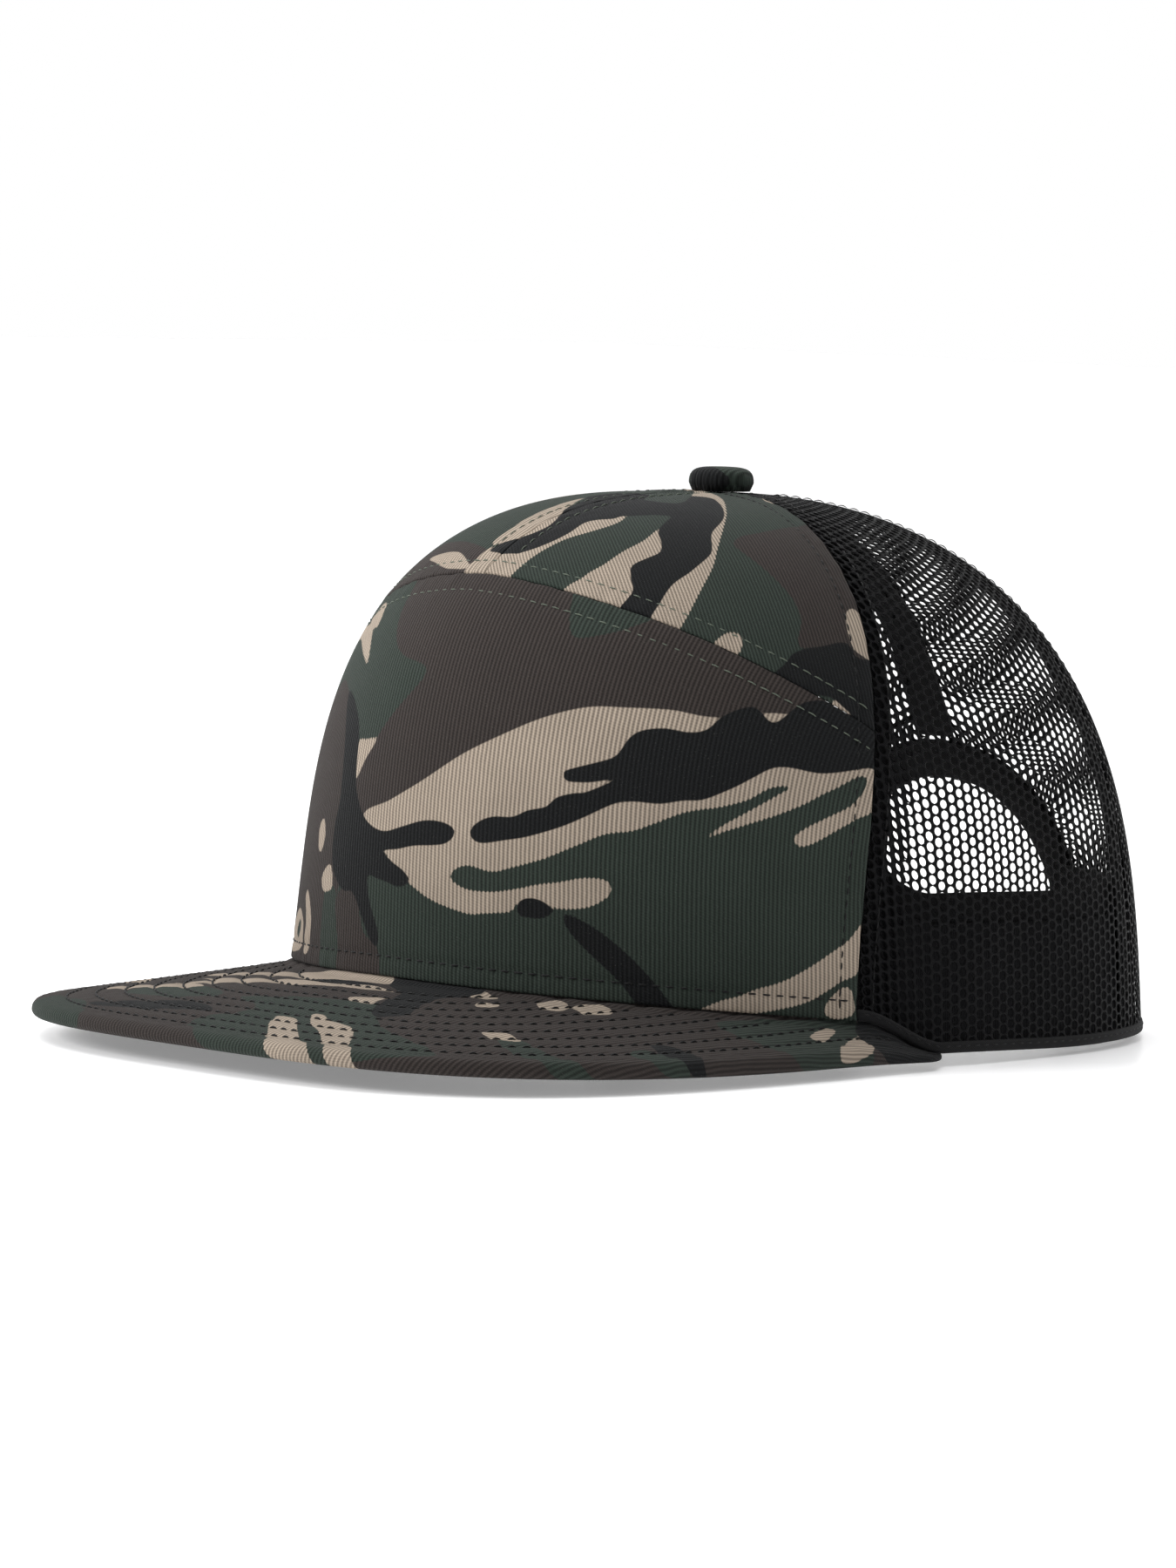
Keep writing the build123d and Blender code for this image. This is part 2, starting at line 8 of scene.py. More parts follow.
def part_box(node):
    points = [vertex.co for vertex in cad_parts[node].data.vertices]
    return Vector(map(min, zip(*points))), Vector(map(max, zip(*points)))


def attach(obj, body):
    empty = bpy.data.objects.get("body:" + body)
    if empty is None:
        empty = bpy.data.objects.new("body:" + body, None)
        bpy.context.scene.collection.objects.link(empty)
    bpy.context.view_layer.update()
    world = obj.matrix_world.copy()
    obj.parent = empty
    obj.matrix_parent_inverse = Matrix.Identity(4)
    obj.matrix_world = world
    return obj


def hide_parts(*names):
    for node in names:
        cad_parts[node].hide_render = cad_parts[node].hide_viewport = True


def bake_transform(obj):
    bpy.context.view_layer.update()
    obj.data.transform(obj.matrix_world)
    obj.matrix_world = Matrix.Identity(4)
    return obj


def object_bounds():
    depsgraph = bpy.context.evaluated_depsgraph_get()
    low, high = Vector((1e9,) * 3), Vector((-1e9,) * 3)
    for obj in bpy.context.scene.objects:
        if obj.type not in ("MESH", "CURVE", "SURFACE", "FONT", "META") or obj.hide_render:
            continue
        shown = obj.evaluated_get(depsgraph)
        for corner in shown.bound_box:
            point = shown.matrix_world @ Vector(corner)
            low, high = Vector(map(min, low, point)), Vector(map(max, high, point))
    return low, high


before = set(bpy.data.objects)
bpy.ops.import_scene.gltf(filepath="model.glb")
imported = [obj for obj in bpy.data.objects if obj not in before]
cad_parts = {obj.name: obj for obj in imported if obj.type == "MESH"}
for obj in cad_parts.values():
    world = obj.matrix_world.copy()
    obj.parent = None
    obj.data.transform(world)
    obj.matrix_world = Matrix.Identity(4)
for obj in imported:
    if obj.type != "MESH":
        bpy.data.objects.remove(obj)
cad_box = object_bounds()
MM = 0.001

# ---------------------------------------------------------------- sizes of the cap, in metres
CROWN_FRONT, CROWN_BACK, CROWN_HALF_WIDTH = 0.103, 0.086, 0.088
CROWN_HEIGHT, POLE_Y = 0.1185, -0.001
PLAN_POWER_FRONT, PLAN_POWER_BACK = 1.9, 3.0
REACH_POWER, RISE_POWER, LEAN = (3.3, 2.45, 2.3), (3.45, 3.6, 2.55), (0.10, 0.07, 0.09)
RIM_FRONT, RIM_SEAM, RIM_EAR, RIM_POWER = 0.015, 0.009, 0.0012, 1.4
EAR_ANGLE, REST_ANGLE = 79.0, 112.0
FRONT_SEAM_RIM, FRONT_SEAM_TOP, FRONT_SEAM_TURN, SIDE_BACK_SEAM = 64.5, 70.5, 50.0, 123.5
YOKE_CENTRE, YOKE_SIDE, YOKE_POWER = 46.5, 30.0, 1.65
ARCH_HALF_WIDTH, ARCH_HEIGHT, ARCH_POWER, BINDING_WIDTH = 0.034, 0.051, 2.3, 0.009
BRIM_HALF_WIDTH, BRIM_REACH, BRIM_WIDEST, BRIM_POWER, BRIM_TAIL = 0.091, 0.161, 0.027, 3.3, 0.030
BRIM_LIFT_FRONT, BRIM_LIFT_SIDE, BRIM_LIFT_POWER = 0.003, 0.0002, 2.1
BRIM_THICKNESS, TAIL_THICKNESS, TAIL_ANGLE, BRIM_GAP, BRIM_INNER_DEPTH = 0.0037, 0.001, 24.0, 0.0005, 0.002375
STRAP_WIDTH, STRAP_CENTRE, STRAP_THICKNESS, HINGE_X, HINGE_GAP = 0.017, 0.014, 0.0011, 0.031, 0.0012
ANCHOR_DEPTH = 0.0020
POLE_HOLE = 0.0034
SIDES = (("left", 1), ("right", -1))


# ---------------------------------------------------------------- the crown's surface
def smooth(x):
    x = np.clip(x, 0, 1)
    return x * x * (3 - 2 * x)


def around(values, t):
    front, side, back = values
    c = np.cos(np.radians(t))
    return side + (front - back) / 2 * c + ((front + back) / 2 - side) * c * c


def plan_radius(t):
    c, s = np.cos(np.radians(t)), np.sin(np.radians(t))
    power = np.where(c > 0, PLAN_POWER_FRONT, PLAN_POWER_BACK)
    reach = np.where(c > 0, CROWN_FRONT, CROWN_BACK)
    return (np.abs(c / reach) ** power + np.abs(s / CROWN_HALF_WIDTH) ** power) ** (-1 / power)


def rim_height(t):
    t = np.abs((np.asarray(t, float) + 180) % 360 - 180)
    ear = RIM_EAR * (1 - smooth((t - EAR_ANGLE) / (REST_ANGLE - EAR_ANGLE)))
    drop = smooth((t - FRONT_SEAM_RIM) / (EAR_ANGLE - FRONT_SEAM_RIM))
    front = RIM_FRONT - (RIM_FRONT - RIM_SEAM) * (np.minimum(t, FRONT_SEAM_RIM) / FRONT_SEAM_RIM) ** RIM_POWER
    return np.where(t < FRONT_SEAM_RIM, front, RIM_SEAM + (ear - RIM_SEAM) * drop)


def crown_point(t, rise):
    """Outer surface at an azimuth (0 in front, 90 at the wearer's left) and a rise, in degrees."""
    t, rise = np.broadcast_arrays(np.asarray(t, float), np.asarray(rise, float))
    p, q = around(REACH_POWER, t), around(RISE_POWER, t)
    c = np.abs(np.cos(np.radians(rise)))
    s = np.maximum(np.sin(np.radians(rise)), 0)
    size = np.ones_like(c)
    for _ in range(10):
        a, b = (size * c) ** p, (size * s) ** q
        size = size - (a + b - 1) * size / (p * a + q * b)
    h = size * s
    reach = size * c * (1 - around(LEAN, t) * h)
    low, radius = rim_height(t), plan_radius(t)
    x = radius * np.sin(np.radians(t)) * reach
    y = POLE_Y + (-radius * np.cos(np.radians(t)) - POLE_Y) * reach
    return np.stack([x, y, low + (CROWN_HEIGHT - low) * h], -1)


def unit(v):
    return v / np.maximum(np.linalg.norm(v, axis=-1, keepdims=True), 1e-12)


def crown_frame(t, rise):
    """Point, outward normal, and metres per degree of azimuth and of rise."""
    step = 0.05
    low = np.minimum(rise, 90 - 2 * step)
    along = (crown_point(t + step, rise) - crown_point(t - step, rise)) / (2 * step)
    up = (crown_point(t, low + step) - crown_point(t, np.maximum(low - step, 0))) / (
        low + step - np.maximum(low - step, 0))[..., None]
    return crown_point(t, rise), unit(np.cross(along, up)), along, up


def shell(t, rise, depth):
    point, normal, _, _ = crown_frame(t, rise)
    return point - normal * np.asarray(depth)[..., None]


def rise_at(t, above_rim):
    """Rise where the surface is a height above the rim."""
    t, above_rim = np.broadcast_arrays(np.asarray(t, float), np.asarray(above_rim, float))
    low, high = np.zeros_like(t), np.full_like(t, 90.0)
    goal = rim_height(t) + above_rim
    for _ in range(22):
        middle = (low + high) / 2
        below = crown_point(t, middle)[..., 2] < goal
        low, high = np.where(below, middle, low), np.where(below, high, middle)
    return low


def rise_near_pole(t, radius):
    t = np.asarray(t, float)
    low, high = np.full_like(t, 45.0), np.full_like(t, 90.0)
    for _ in range(22):
        middle = (low + high) / 2
        point = crown_point(t, middle)
        outside = np.hypot(point[..., 0], point[..., 1] - POLE_Y) > radius
        low, high = np.where(outside, middle, low), np.where(outside, high, middle)
    return low


def front_seam(rise):
    return FRONT_SEAM_RIM + (FRONT_SEAM_TOP - FRONT_SEAM_RIM) * smooth(np.asarray(rise) / FRONT_SEAM_TURN)


def yoke_seam(t):
    return YOKE_CENTRE - (YOKE_CENTRE - YOKE_SIDE) * (np.abs(t) / FRONT_SEAM_TOP) ** YOKE_POWER


def aside(seam, metres):
    """A seam (azimuth from rise) moved aside by a distance along the surface."""
    def moved(rise):
        t = seam(rise)
        return t + metres / np.linalg.norm(crown_frame(t, rise)[2], axis=-1)
    return moved


def lifted(seam, metres):
    """An edge (rise from azimuth) moved up by a distance along the surface."""
    def moved(t):
        rise = seam(t)
        return rise + metres / np.linalg.norm(crown_frame(t, rise)[3], axis=-1)
    return moved


def straight(t):
    return lambda rise: t + 0 * np.asarray(rise, float)


def sided(seam, sign):
    """A seam of the left half as it is, or with a sign of -1 its mirror image."""
    return lambda rise: sign * seam(rise)


def mirrored(seam):
    return sided(seam, -1)


def on_side(edges, sign):
    """The four edges of a piece of the left half, or with a sign of -1 those of its mirror image."""
    if sign > 0:
        return edges
    left, right, bottom, top = edges
    return mirrored(right), mirrored(left), lambda t: bottom(-t), lambda t: top(-t)


def at_height(above_rim):
    return lambda t: rise_at(t, above_rim)


def at_pole(radius):
    return lambda t: rise_near_pole(t, radius)


def region(left, right, bottom, top, u, v):
    """Azimuth and rise of shares u and v of the way across a piece between four edges."""
    rise = np.full(np.broadcast(u, v).shape, 45.0)
    for _ in range(6):
        t = left(rise) + (right(rise) - left(rise)) * u
        rise = bottom(t) + (top(t) - bottom(t)) * v
    return t, rise


def back_place(x, z):
    """Azimuth and rise of the surface's point behind the head at a given x and z."""
    x, z = np.broadcast_arrays(np.asarray(x, float), np.asarray(z, float))
    t = np.full(x.shape, 180.0)
    for _ in range(12):
        rise = rise_at(t, z - rim_height(t))
        p = crown_point(t, rise)
        t = t - np.degrees((x - p[..., 0]) / np.hypot(p[..., 0], p[..., 1]))
    return t, rise


# ---------------------------------------------------------------- making pieces
def material_of(obj, *materials):
    obj.data.materials.clear()
    for m in materials:
        obj.data.materials.append(m)


def add_piece(name, points, faces, material, replaces=(), body="crown", fields=()):
    mesh = bpy.data.meshes.new(name)
    mesh.from_pydata(np.asarray(points, float).reshape(-1, 3).tolist(), [], faces)
    mesh.update()
    mesh.shade_smooth()
    for label, values in dict(fields).items():
        values = np.asarray(values, float)
        if values.ndim == 1:
            mesh.attributes.new(label, "FLOAT", "POINT").data.foreach_set("value", values)
        else:
            mesh.attributes.new(label, "FLOAT_VECTOR", "POINT").data.foreach_set("vector", values.ravel())
    obj = bpy.data.objects.new(name, mesh)
    bpy.context.scene.collection.objects.link(obj)
    material_of(obj, material)
    if body:
        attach(obj, body)
    if replaces:
        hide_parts(*replaces)
    return obj


def grid_faces(rows, columns, start=0, closed=False, flip=False):
    """Quads of a grid of points, rows first."""
    faces = []
    for i in range(rows - 1 + (1 if closed else 0)):
        a, b = start + i * columns, start + ((i + 1) % rows) * columns
        for j in range(columns - 1):
            quad = (a + j, b + j, b + j + 1, a + j + 1)
            faces.append(quad[::-1] if flip else quad)
    return faces


def slab(outer, inner):
    """Closed thin solid between two grids of points of one shape."""
    rows, columns = outer.shape[:2]
    count = rows * columns
    faces = grid_faces(rows, columns) + grid_faces(rows, columns, count, flip=True)
    border = ([(i, 0) for i in range(rows)] + [(rows - 1, j) for j in range(1, columns)]
              + [(i, columns - 1) for i in range(rows - 2, -1, -1)]
              + [(0, j) for j in range(columns - 2, 0, -1)])
    ids = [i * columns + j for i, j in border]
    for a, b in zip(ids, ids[1:] + ids[:1]):
        faces.append((b, a, a + count, b + count))
    return np.concatenate([outer.reshape(-1, 3), inner.reshape(-1, 3)]), faces


FINE = (0.12 * MM, 0.3 * MM, 0.55 * MM, 0.9 * MM, 1.5 * MM)
FOLD_RADIUS = 0.9 * MM


def steps(length, pitch):
    """Shares from 0 to 1 along a length, closer together near both ends."""
    ends = np.array(FINE) / length
    middle = np.linspace(ends[-1], 1 - ends[-1], max(int(length / pitch), 2) + 1)
    return np.unique(np.round(np.concatenate([[0], ends, middle, 1 - ends, [1]]), 9))


def edge_distances(points):
    """Metres along the grid from each of its four edges: low u, high u, low v, high v."""
    du = np.linalg.norm(np.diff(points, axis=0), axis=-1)
    dv = np.linalg.norm(np.diff(points, axis=1), axis=-1)
    from_left = np.concatenate([np.zeros((1, points.shape[1])), np.cumsum(du, 0)])
    from_low = np.concatenate([np.zeros((points.shape[0], 1)), np.cumsum(dv, 1)], 1)
    return from_left, from_left[-1] - from_left, from_low, from_low[:, -1:] - from_low


def fold(distance, radius, drop):
    """How far cloth sinks where it turns into a seam."""
    x = np.clip(1 - distance / radius, 0, 1)
    return drop * (1 - np.sqrt(1 - x * x))


def dimple(distance, place, depth=0.2 * MM, width=0.9 * MM):
    return depth * np.exp(-((distance - place) / width) ** 2)


def waves(seed, *coordinates):
    """Smooth irregular ripple from a few sines, about -1 to 1."""
    rng = np.random.default_rng(seed)
    total = 0
    for _ in range(5):
        k = rng.uniform(0.5, 1.6, len(coordinates)) * rng.choice([-1, 1], len(coordinates))
        total = total + np.sin(sum(a * c for a, c in zip(k, coordinates)) + rng.uniform(0, 6.28))
    return total / 3


def cloth(name, edges, depth, thickness, material, replaces, size, pitch, relief,
          fields=None, roll=0.5):
    """Cloth piece of the crown: four edges, depth below the surface, relief(distances, t, rise)."""
    u = steps(size[0], pitch)[:, None]
    v = steps(size[1], pitch)[None, :]
    t, rise = region(*edges, u, v)
    base = crown_point(t, rise)
    distances = edge_distances(base)
    nearest = np.minimum.reduce(distances)
    bend = min(FOLD_RADIUS, thickness)
    sink = depth + fold(nearest, bend, thickness * roll) + relief(distances, t, rise)
    outer = shell(t, rise, sink)
    inner = shell(t, rise, depth + thickness - fold(nearest, bend, thickness * roll * 0.6))
    points, faces = slab(outer, inner)
    flat = np.stack([distances[0] - distances[0].mean(0), distances[2], 0 * t], -1)
    values = {"weave": np.concatenate([flat.reshape(-1, 3)] * 2)}
    if fields:
        for label, field in fields(t, rise).items():
            values[label] = np.concatenate([field] * 2)
    return add_piece(name, points, faces, material, replaces, fields=values)


def path_steps(points, pitch):
    """Length of a polyline up to each of its points, and how many stitches of a pitch it takes."""
    length = np.concatenate([[0], np.cumsum(np.linalg.norm(np.diff(points, axis=0), axis=1))])
    count = max(int(round(length[-1] / pitch)), 1)
    return length, count


def sewn(name, rows, material, pitch, length, radius, seed):
    """Rows of stitches; each row is (points, outward normals) along the cloth's surface."""
    rng = np.random.default_rng(seed)
    sides, rings = 6, 6
    all_points, faces = [], []
    base = 0
    profile = np.array([0.35, 0.85, 1.0, 1.0, 0.85, 0.35])
    height = np.array([-1.1, 0.0, 0.7, 0.7, 0.0, -1.1])
    angle = np.arange(sides) * 2 * math.pi / sides
    for points, normals in rows:
        span, count = path_steps(points, pitch)
        if span[-1] < pitch:
            continue
        starts = (np.arange(count) + 0.5) * span[-1] / count
        starts = starts + rng.uniform(-0.04, 0.04, count) * pitch
        half = length * rng.uniform(0.93, 1.05, count) / 2
        s = starts[:, None] + half[:, None] * np.linspace(-1, 1, rings)[None, :]
        s = np.clip(s, 0, span[-1])
        centre = np.stack([np.interp(s, span, points[:, k]) for k in range(3)], -1)
        normal = unit(np.stack([np.interp(s, span, normals[:, k]) for k in range(3)], -1))
        s_after, s_before = (np.clip(s + step, 0, span[-1]) for step in (0.1 * MM, -0.1 * MM))
        ahead = np.stack([np.interp(s_after, span, points[:, k]) - np.interp(s_before, span, points[:, k])
                          for k in range(3)], -1)
        side = unit(np.cross(normal, ahead))
        sway = rng.uniform(-0.05, 0.05, (count, 1)) * MM * np.linspace(-1, 1, rings)[None, :]
        centre = centre + normal * (height * radius)[None, :, None] + side * sway[..., None]
        spoke = (normal[:, :, None] * np.sin(angle)[None, None, :, None] * 0.85
                 + side[:, :, None] * np.cos(angle)[None, None, :, None])
        ring = centre[:, :, None] + spoke * (radius * profile)[None, :, None, None]
        all_points.append(ring.reshape(-1, 3))
        for k in range(count):
            start = base + k * rings * sides
            for i in range(rings - 1):
                for j in range(sides):
                    a, b = start + i * sides + j, start + i * sides + (j + 1) % sides
                    faces.append((a, b, b + sides, a + sides))
            faces.append(tuple(start + j for j in range(sides))[::-1])
            faces.append(tuple(start + (rings - 1) * sides + j for j in range(sides)))
        base += count * rings * sides
    return add_piece(name, np.concatenate(all_points), faces, material)


def crown_row(t, rise, depth):
    """Row of stitches along azimuths and rises."""
    point, normal, _, _ = crown_frame(t, rise)
    return point - normal * depth, normal


def level_row(edge, t0, t1, depth, count=400):
    t = np.linspace(t0, t1, count)
    return crown_row(t, edge(t), depth)


def upright_row(seam, r0, r1, depth, count=300):
    rise = np.linspace(r0, r1, count)
    return crown_row(seam(rise), rise, depth)


# ---------------------------------------------------------------- the printed cloth
COLOURS = ("green", "brown", "tan", "black")
GREEN, BROWN, TAN, BLACK = range(4)
PRINT_REACH = 6.0
# Shapes are painted one over another. On the crown a place is (90 - rise) degrees from the button
# in the direction of its azimuth: x to the wearer's left, y forward.
FRONT_PRINT = (
    (BROWN, (-13.8, 40), (-13.7, 44.5), (-12.5, 48.9), (-10, 52.2), (-6.7, 54.1), (-1.7, 55.3),
     (-0.9, 56.5), (-2.9, 58.5), (-5.8, 60.8), (-8.3, 63), (-10, 64.7), (-12.2, 66.9), (-11.5, 69),
     (-8.8, 71.6), (-1, 72), (12, 66), (30, 54), (44, 44), (52, 30), (54, 20), (20, 30), (0, 36)),
    (GREEN, (14.6, 41), (15, 43.5), (17, 46.5), (18.7, 47.4), (21.2, 46), (24, 43.4), (26, 40), (20, 39)),
    (BROWN, (-60, 44), (-40, 48), (-33.3, 49.8), (-28, 51), (-25, 52.5), (-21.3, 55.5), (-19, 59),
     (-17.5, 64), (-16.5, 70), (-15, 77), (-16, 82), (-13.5, 86), (-10, 96), (-40, 96), (-54, 74),
     (-60, 58)),
    (GREEN, (-20.8, 78.2), (-16.6, 78.8), (-15.6, 83), (-13.6, 88), (-13, 95), (-22, 95), (-22, 84)),
    (BROWN, (-16, 80), (-10, 79.9), (-6, 85), (-2, 86.6), (-0.5, 89.5), (0, 95), (-14, 95), (-14.5, 86)),
    (TAN, (-9, 71.4), (-2.5, 69.9), (3.75, 67.3), (10, 63.3), (15, 60), (20, 56.3), (25, 52.8), (30, 49.9),
     (35, 46.5), (40.7, 42.3), (47, 34), (53, 28), (57, 25), (58.8, 23.6), (61.9, 25.8), (61.5, 30),
     (60.8, 34.2), (60, 37.9), (58.9, 40.3), (57.7, 40.6), (57.9, 38.7), (59.2, 33.7), (60, 29.6),
     (59.6, 26.7), (58.8, 25.7), (58, 27), (57.4, 30.5), (56.7, 33.5), (55.8, 37.1), (54.6, 40.4),
     (53.3, 43.3), (51.7, 46.3), (50, 49.2), (48.2, 52), (49.2, 49.2), (50.8, 45.4), (52.3, 41.2),
     (53.1, 38.1), (51.2, 41), (49.9, 44.5), (47.5, 48.3), (45.4, 50.8), (43.3, 53.3), (40.8, 56.7),
     (38.3, 59.6), (35, 62.2), (32, 65.2), (29, 68), (26.5, 70), (22.5, 72.5), (19.5, 74), (15, 74.6),
     (12.5, 76.1), (13.3, 77), (16.5, 77.1), (21, 75.9), (25, 74), (27.5, 72.5), (31, 70.5), (34, 68.4),
     (37, 66.7), (38.6, 66.3), (39.3, 67.1), (38.5, 68.6), (37, 70.3), (34.5, 72), (31.5, 73.4), (28, 74.2),
     (25.5, 75.5), (24.5, 77), (20, 78.8), (16.5, 79.8), (10, 79.9), (5, 78.9), (2, 77.6), (-2.5, 75.5)),
    (TAN, (-13.4, 62.6), (-11, 62.8), (-8.2, 63.1), (-10.3, 65), (-12.4, 67), (-13, 64.5)),
    (TAN, (-25.6, 69.3), (-23.5, 69), (-22.2, 71.3), (-23.7, 72.8), (-25.4, 71.8)),
    (TAN, (-22.5, 76), (-19, 75.5), (-17.7, 78.4), (-20, 78.5), (-22, 77.8)),
    (TAN, (-32.3, 75.5), (-31, 75.1), (-29, 77.3), (-27.5, 80.5), (-28.5, 83), (-30.2, 83.6), (-32.2, 82),
     (-31, 79.5), (-31.5, 77.5)),
    (TAN, (-47, 72.6), (-42, 73.5), (-37, 75), (-33.5, 78), (-33, 80.5), (-34.5, 81.3), (-39, 79.8),
     (-44, 77.4), (-48.5, 74.5)),
    (GREEN, (-39, 77.2), (-36.7, 76.6), (-35, 78), (-37, 78.9)),
    (TAN, (-33, 41), (-27, 44.3), (-23, 46), (-20, 49), (-17.3, 53), (-20.5, 51), (-24, 48.3), (-28, 45.5),
     (-34, 43)),
    (TAN, (-26.5, 43), (-22, 43.6), (-19.3, 47.6), (-21, 47.4), (-24, 45.7)),
    (TAN, (72.1, 33), (76.2, 36), (75.6, 40.4), (75.1, 43.7), (74.2, 47.5), (72.5, 51.5), (70, 56),
     (67, 60.5), (63, 65), (60.5, 67), (63.2, 62.3), (65, 59.6), (66.7, 56.2), (68.5, 52.9), (70, 49.2),
     (71.2, 44.6), (71.9, 40.4), (72.3, 36.7)),
    (TAN, (77, 39), (80, 39), (79, 43), (76.8, 45.4), (76.2, 42.5)),
    (BLACK, (58.8, 22), (57.9, 25), (57.1, 27.5), (55.8, 30.8), (54.2, 33.7), (51.2, 37.4), (49.8, 39.6),
     (48.7, 42.5), (47.3, 45.8), (45, 49.8), (42.7, 52.1), (40, 54.8), (36.7, 57), (34.6, 58.6), (33, 60.3),
     (31.5, 62), (29, 64.5), (26.5, 66.5), (23.5, 68.5), (20.5, 70), (17, 71.5), (15, 71.6), (14.3, 70.7),
     (15.5, 69.4), (17.5, 68.3), (20.5, 67.3), (22.5, 65.8), (25, 64.3), (26, 62.8), (28, 61.3), (30, 60),
     (32.7, 57), (30, 58.9), (27.8, 60.1), (26.3, 60.6), (25.7, 59.9), (27, 58.8), (29.5, 56.8),
     (31.5, 54.8), (32, 52.4), (33, 50.7), (35.5, 48.5), (38.5, 46.5), (40.3, 44.4), (41, 41.8),
     (43.3, 37.7), (46.5, 36.2), (47.5, 31), (50, 26.5), (56, 19)),
    (BLACK, (-8.6, 71.5), (-5.8, 72.8), (-2.5, 73.3), (1.25, 72.6), (5.4, 71.5), (8.75, 71.1), (11.1, 71.3),
     (11.6, 72.1), (10.4, 73.2), (7.9, 73.9), (4.2, 74.5), (0.8, 75.2), (-2.6, 75.6), (0, 76.7),
     (2.5, 77.4), (4.3, 78.3), (3.75, 79), (1.7, 79.4), (-0.4, 79.1), (-3.3, 78.7), (-6.1, 78.4),
     (-5, 81.2), (-3.3, 83.2), (-1.6, 85.4), (-1.9, 86.6), (-3.5, 86.1), (-5.8, 84.1), (-8.3, 81.6),
     (-10.6, 79.9), (-13.3, 79.5), (-16.7, 77.4), (-18.5, 74.5), (-18.3, 71.2), (-17.1, 68.5),
     (-17.4, 65.3), (-18.3, 62), (-19.6, 59.3), (-21.8, 55), (-19.2, 56.2), (-16.7, 58.2), (-14.6, 60.3),
     (-13.3, 62.8), (-12.7, 65.7), (-12, 67.8), (-10.4, 69.9)),
    (BLACK, (25.6, 75.5), (27, 74.3), (29.5, 73.6), (31.6, 73.8), (30.5, 75.2), (28.5, 76.1), (26.3, 76.7)),
    (BLACK, (33.6, 73.2), (38, 72), (45, 71), (52, 70.3), (58, 69.8), (66, 68), (60, 72), (54, 74.3),
     (47, 74.3), (40, 74.7), (35.3, 74.4)),
    # the side that faces away
    (TAN, (-44, 48), (-48, 53), (-54, 56), (-60, 56), (-63, 59), (-57, 62), (-50, 60), (-45, 56)),
    (BLACK, (-40, 44), (-43, 51), (-50, 55.5), (-58, 54), (-66, 50), (-64, 46), (-55, 50), (-48, 48),
     (-43, 41)),
    (GREEN, (-62, 64), (-55, 66), (-50, 72), (-54, 80), (-66, 74)),
    (TAN, (-70, 30), (-68, 38), (-72, 46), (-69, 52), (-75, 50), (-77, 38)),
)
